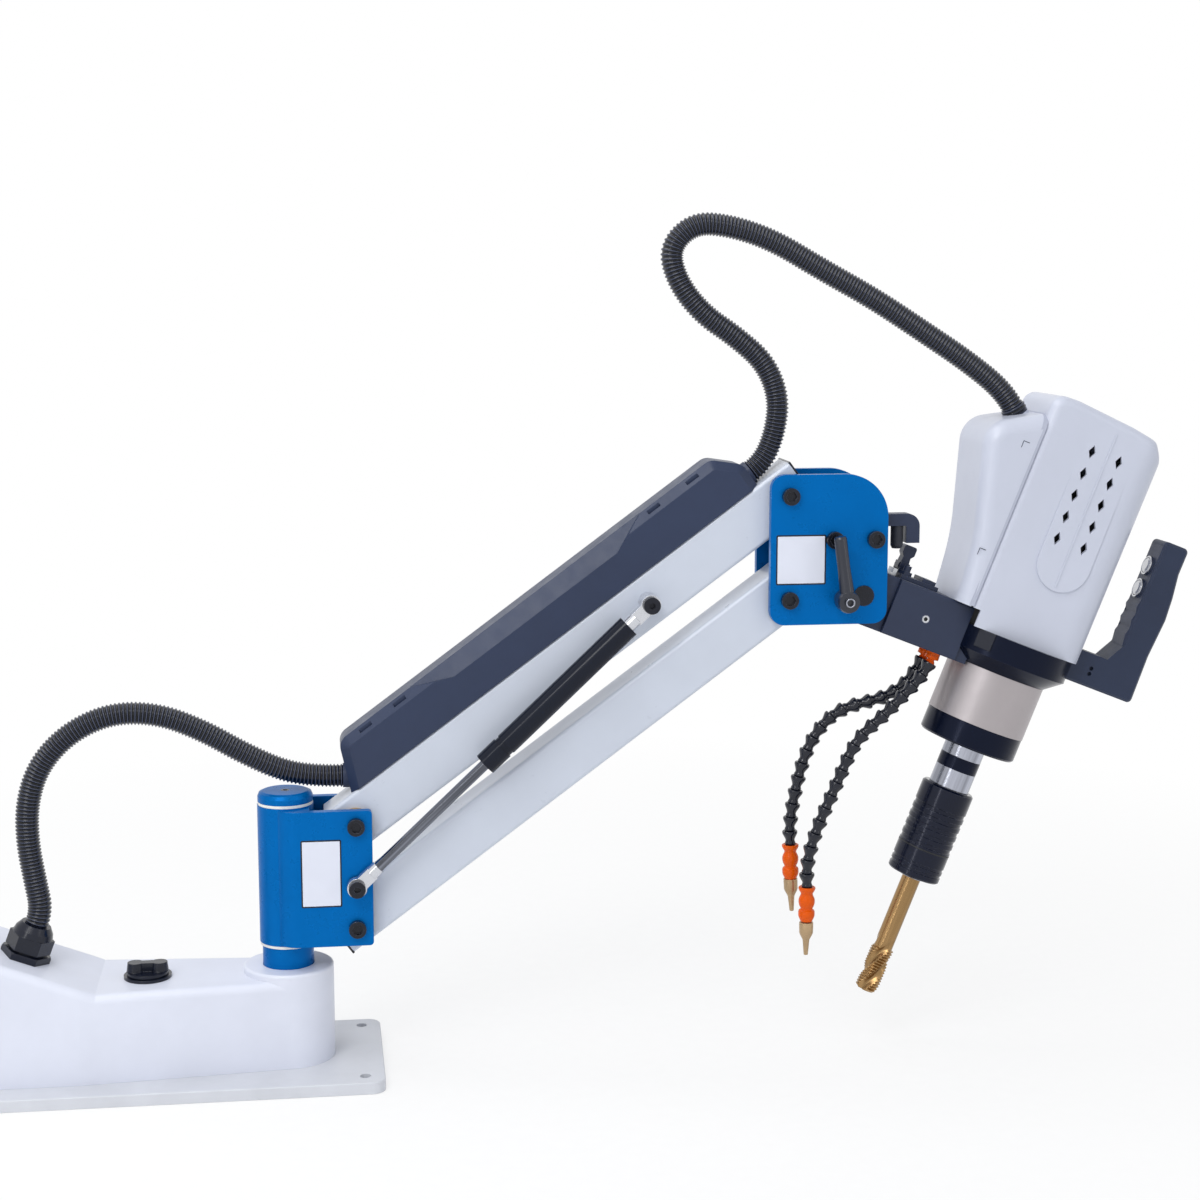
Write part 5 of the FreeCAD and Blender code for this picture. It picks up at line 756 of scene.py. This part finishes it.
def spiral_tap():
    """Shank, thread and spiral flutes, turned ring by ring."""
    levels = list(SHANK_LEVELS)
    level = THREAD_FIRST
    while level > THREAD_FOOT:
        levels.append(level)
        level -= THREAD_PITCH / 4
    levels.extend([THREAD_FOOT, TAP_END])
    mesh = bmesh.new()
    rings = []
    for level in levels:
        ring = []
        for n in range(TAP_SIDES):
            turn = 2 * math.pi * n / TAP_SIDES
            radius = tap_radius(turn, level)
            place = on_spindle(radius * math.cos(turn), radius * math.sin(turn), level)
            ring.append(mesh.verts.new(place))
        rings.append(ring)
    join_rings(mesh, rings)
    piece = new_piece("spiral_tap", mesh, "tap_gold", 38)
    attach(piece, "spindle")
    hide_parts("tap")


spiral_tap()

# Blank plates, bezels and small marks, in millimetres

PLATE_BORDER = 1.4
RIM_CORNER, FACE_CORNER = 1.6, 0.8
RIM_DEPTHS, FACE_DEPTHS = (-38.95, -39.3), (-39.2, -39.42)


def blank_plate(name, body, left, low, right, high):
    """An unprinted plate with a dark rim, stuck to a blue plate's near face."""
    rim, panel = bmesh.new(), bmesh.new()
    prism(rim, upright, rounded_outline(left, low, right, high, RIM_CORNER), *RIM_DEPTHS)
    edge = PLATE_BORDER
    face = rounded_outline(left + edge, low + edge, right - edge, high - edge, FACE_CORNER)
    prism(panel, upright, face, *FACE_DEPTHS)
    for piece in (
        new_piece(f"{name}_rim", rim, "black_nylon", 30),
        new_piece(f"{name}_face", panel, "pale_moulding", 30),
    ):
        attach(piece, body)


blank_plate("yoke_plate", "swivel_yoke", 14.6, 178, 55.2, 247.6)
blank_plate("head_plate", "head", 498.3, 497.4, 550, 548.4)


def turned(name, slot_name, foot, way, profile, sides, looped=False, smooth=35, finish_name=None):
    """A small turned piece, from radius and height pairs."""
    mesh = bmesh.new()
    lathe(mesh, foot, way, profile, sides, looped)
    return new_piece(name, mesh, slot_name, smooth, finish_name)


BEZEL_PROFILE = [(8.5, 0.2), (8.5, 1.3), (8.9, 1.7), (9.9, 1.7), (10.4, 1.2), (10.5, 0.2)]
BUTTON_FACE = 111
BUTTON_WAY = on_spindle(0, 0, 0) - on_spindle(1, 0, 0)
for name, level in (("start", 135.5), ("reverse", 110)):
    foot = on_spindle(BUTTON_FACE, 0, level)
    bezel = turned(f"{name}_bezel", "button_metal", foot, BUTTON_WAY, BEZEL_PROFILE, 40, True)
    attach(bezel, "tapping_head")

CLAMP_SCREW = upright(568.02, -72.3, 482.45)
CLAMP_RING_PROFILE = [(3.5, -0.2), (3.5, 0.3), (3.8, 0.5), (4.5, 0.5), (4.8, 0.2), (4.8, -0.2)]
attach(turned(
    "clamp_screw_ring", "light_metal", CLAMP_SCREW, TO_VIEWER, CLAMP_RING_PROFILE, 36, True,
    finish_name="ground_steel",
), "clamp")

RETAINING_SCREW = on_block(72, -35, 0)
SCREW_RIM_PROFILE = [(3.5, -0.6), (3.5, 0.1), (3.6, 0.2), (4.0, 0.2), (4.1, 0.1), (4.1, -0.6)]
SCREW_CORE_PROFILE = [
    (3.55, -2.6), (3.55, -0.4), (2.8, -0.1), (2.1, -0.1), (1.7, -0.5), (1.7, -1.8),
]
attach(turned(
    "retaining_screw_rim", "light_metal", RETAINING_SCREW, TO_VIEWER, SCREW_RIM_PROFILE, 32, True,
    finish_name="ground_steel",
), "tapping_head")
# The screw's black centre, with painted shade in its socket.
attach(turned(
    "retaining_screw_core", "black_oxide", RETAINING_SCREW, TO_VIEWER, SCREW_CORE_PROFILE, 24,
    finish_name="black_and_painted_shade",
), "tapping_head")

# A near-black band round the sleeve's joint: painted shade.
SLEEVE_SEAM = on_spindle(0, 0, -229)
SEAM_PROFILE = [(27.2, 0), (28.28, 0), (28.28, 1.4), (27.2, 1.4)]
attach(turned(
    "sleeve_seam", "sleeve_black", SLEEVE_SEAM, UP_SPINDLE, SEAM_PROFILE, 64, True,
    finish_name="black_and_painted_shade",
), "sleeve")

PAD_TURN = math.radians(-129.3)
PAD_OUTLINE = rounded_outline(-9.4, -6.7, 9.4, 12, 0.8, 3)
PAD_DEPTHS = (67, 70.7)


def on_collar(x, y, z):
    """A place on the flat pad that faces the viewer's left, measured from the spindle's line."""
    cosine, sine = math.cos(PAD_TURN), math.sin(PAD_TURN)
    return on_spindle(y * cosine - x * sine, y * sine + x * cosine, z)


pad = bmesh.new()
prism(pad, on_collar, PAD_OUTLINE, *PAD_DEPTHS)
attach(new_piece("collar_pad", pad, "black_anodised", 30, "black_nylon"), "tapping_head")

# a band just under the surface closes the joint between the two halves of the hood; its darker lilac
# is painted shade for the seam line
JOINT_SIDE, JOINT_LOW, JOINT_HIGH, JOINT_CORNER = 51.9, 30.5, 239.8, 15.9
JOINT_DEPTHS = (-73, -68)
joint_corner = [
    (
        JOINT_SIDE - JOINT_CORNER + JOINT_CORNER * math.cos(t),
        JOINT_HIGH - JOINT_CORNER + JOINT_CORNER * math.sin(t),
    )
    for t in (math.radians(15 * n) for n in range(7))
]
joint_outline = [
    (-JOINT_SIDE, JOINT_LOW), (JOINT_SIDE, JOINT_LOW), *joint_corner,
    *((-x, z) for x, z in reversed(joint_corner)),
]
hood_joint = bmesh.new()
prism(hood_joint, lambda x, y, z: on_spindle(y, x, z), joint_outline, *JOINT_DEPTHS)
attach(new_piece("hood_joint", hood_joint, "lilac_white", 30, "hood_joint"), "tapping_head")

CUFF_WAY = Vector((0.5, 0, -0.866))
CUFF_OVERLAP = 0.0005
CUFF_START = Vector(UPPER_ROUTE[-1]) - CUFF_WAY * CUFF_OVERLAP
CUFF_PROFILE = [
    (11.4, 0), (12.7, 0.6), (13.1, 1.2), (13.1, 1.9), (12.6, 2.6), (12.6, 3.8), (13.1, 4.6),
    (13.1, 5.4), (12.6, 6.2), (12.6, 9.5),
]
cuff = turned("conduit_cuff", "conduit_black", CUFF_START, CUFF_WAY, CUFF_PROFILE, 36, smooth=60)
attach(cuff, "tapping_head")

# the two strokes of an L-shaped mark, measured from its middle; their dark colour is painted shade in
# small clip windows in the hood
CLIP_STROKES = (
    [(-4, 3.6), (-4, 2.9), (3, 2.9), (3, 3.6)],
    [(-4, 2.9), (-3.3, 2.9), (-3.3, -4), (-4, -4)],
)
CLIP_DEPTHS = (-51.9, -52.12)
clip_marks = bmesh.new()
for across, level in ((-81.8, 202.5), (-82.2, 85.3)):
    for stroke in CLIP_STROKES:
        outline = [(across + x, level + z) for x, z in stroke]
        prism(clip_marks, on_spindle, outline, *CLIP_DEPTHS)
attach(new_piece("clip_marks", clip_marks, "slate_paint", 30), "tapping_head")

# Finish

bpy.context.scene.view_settings.view_transform = "Standard"
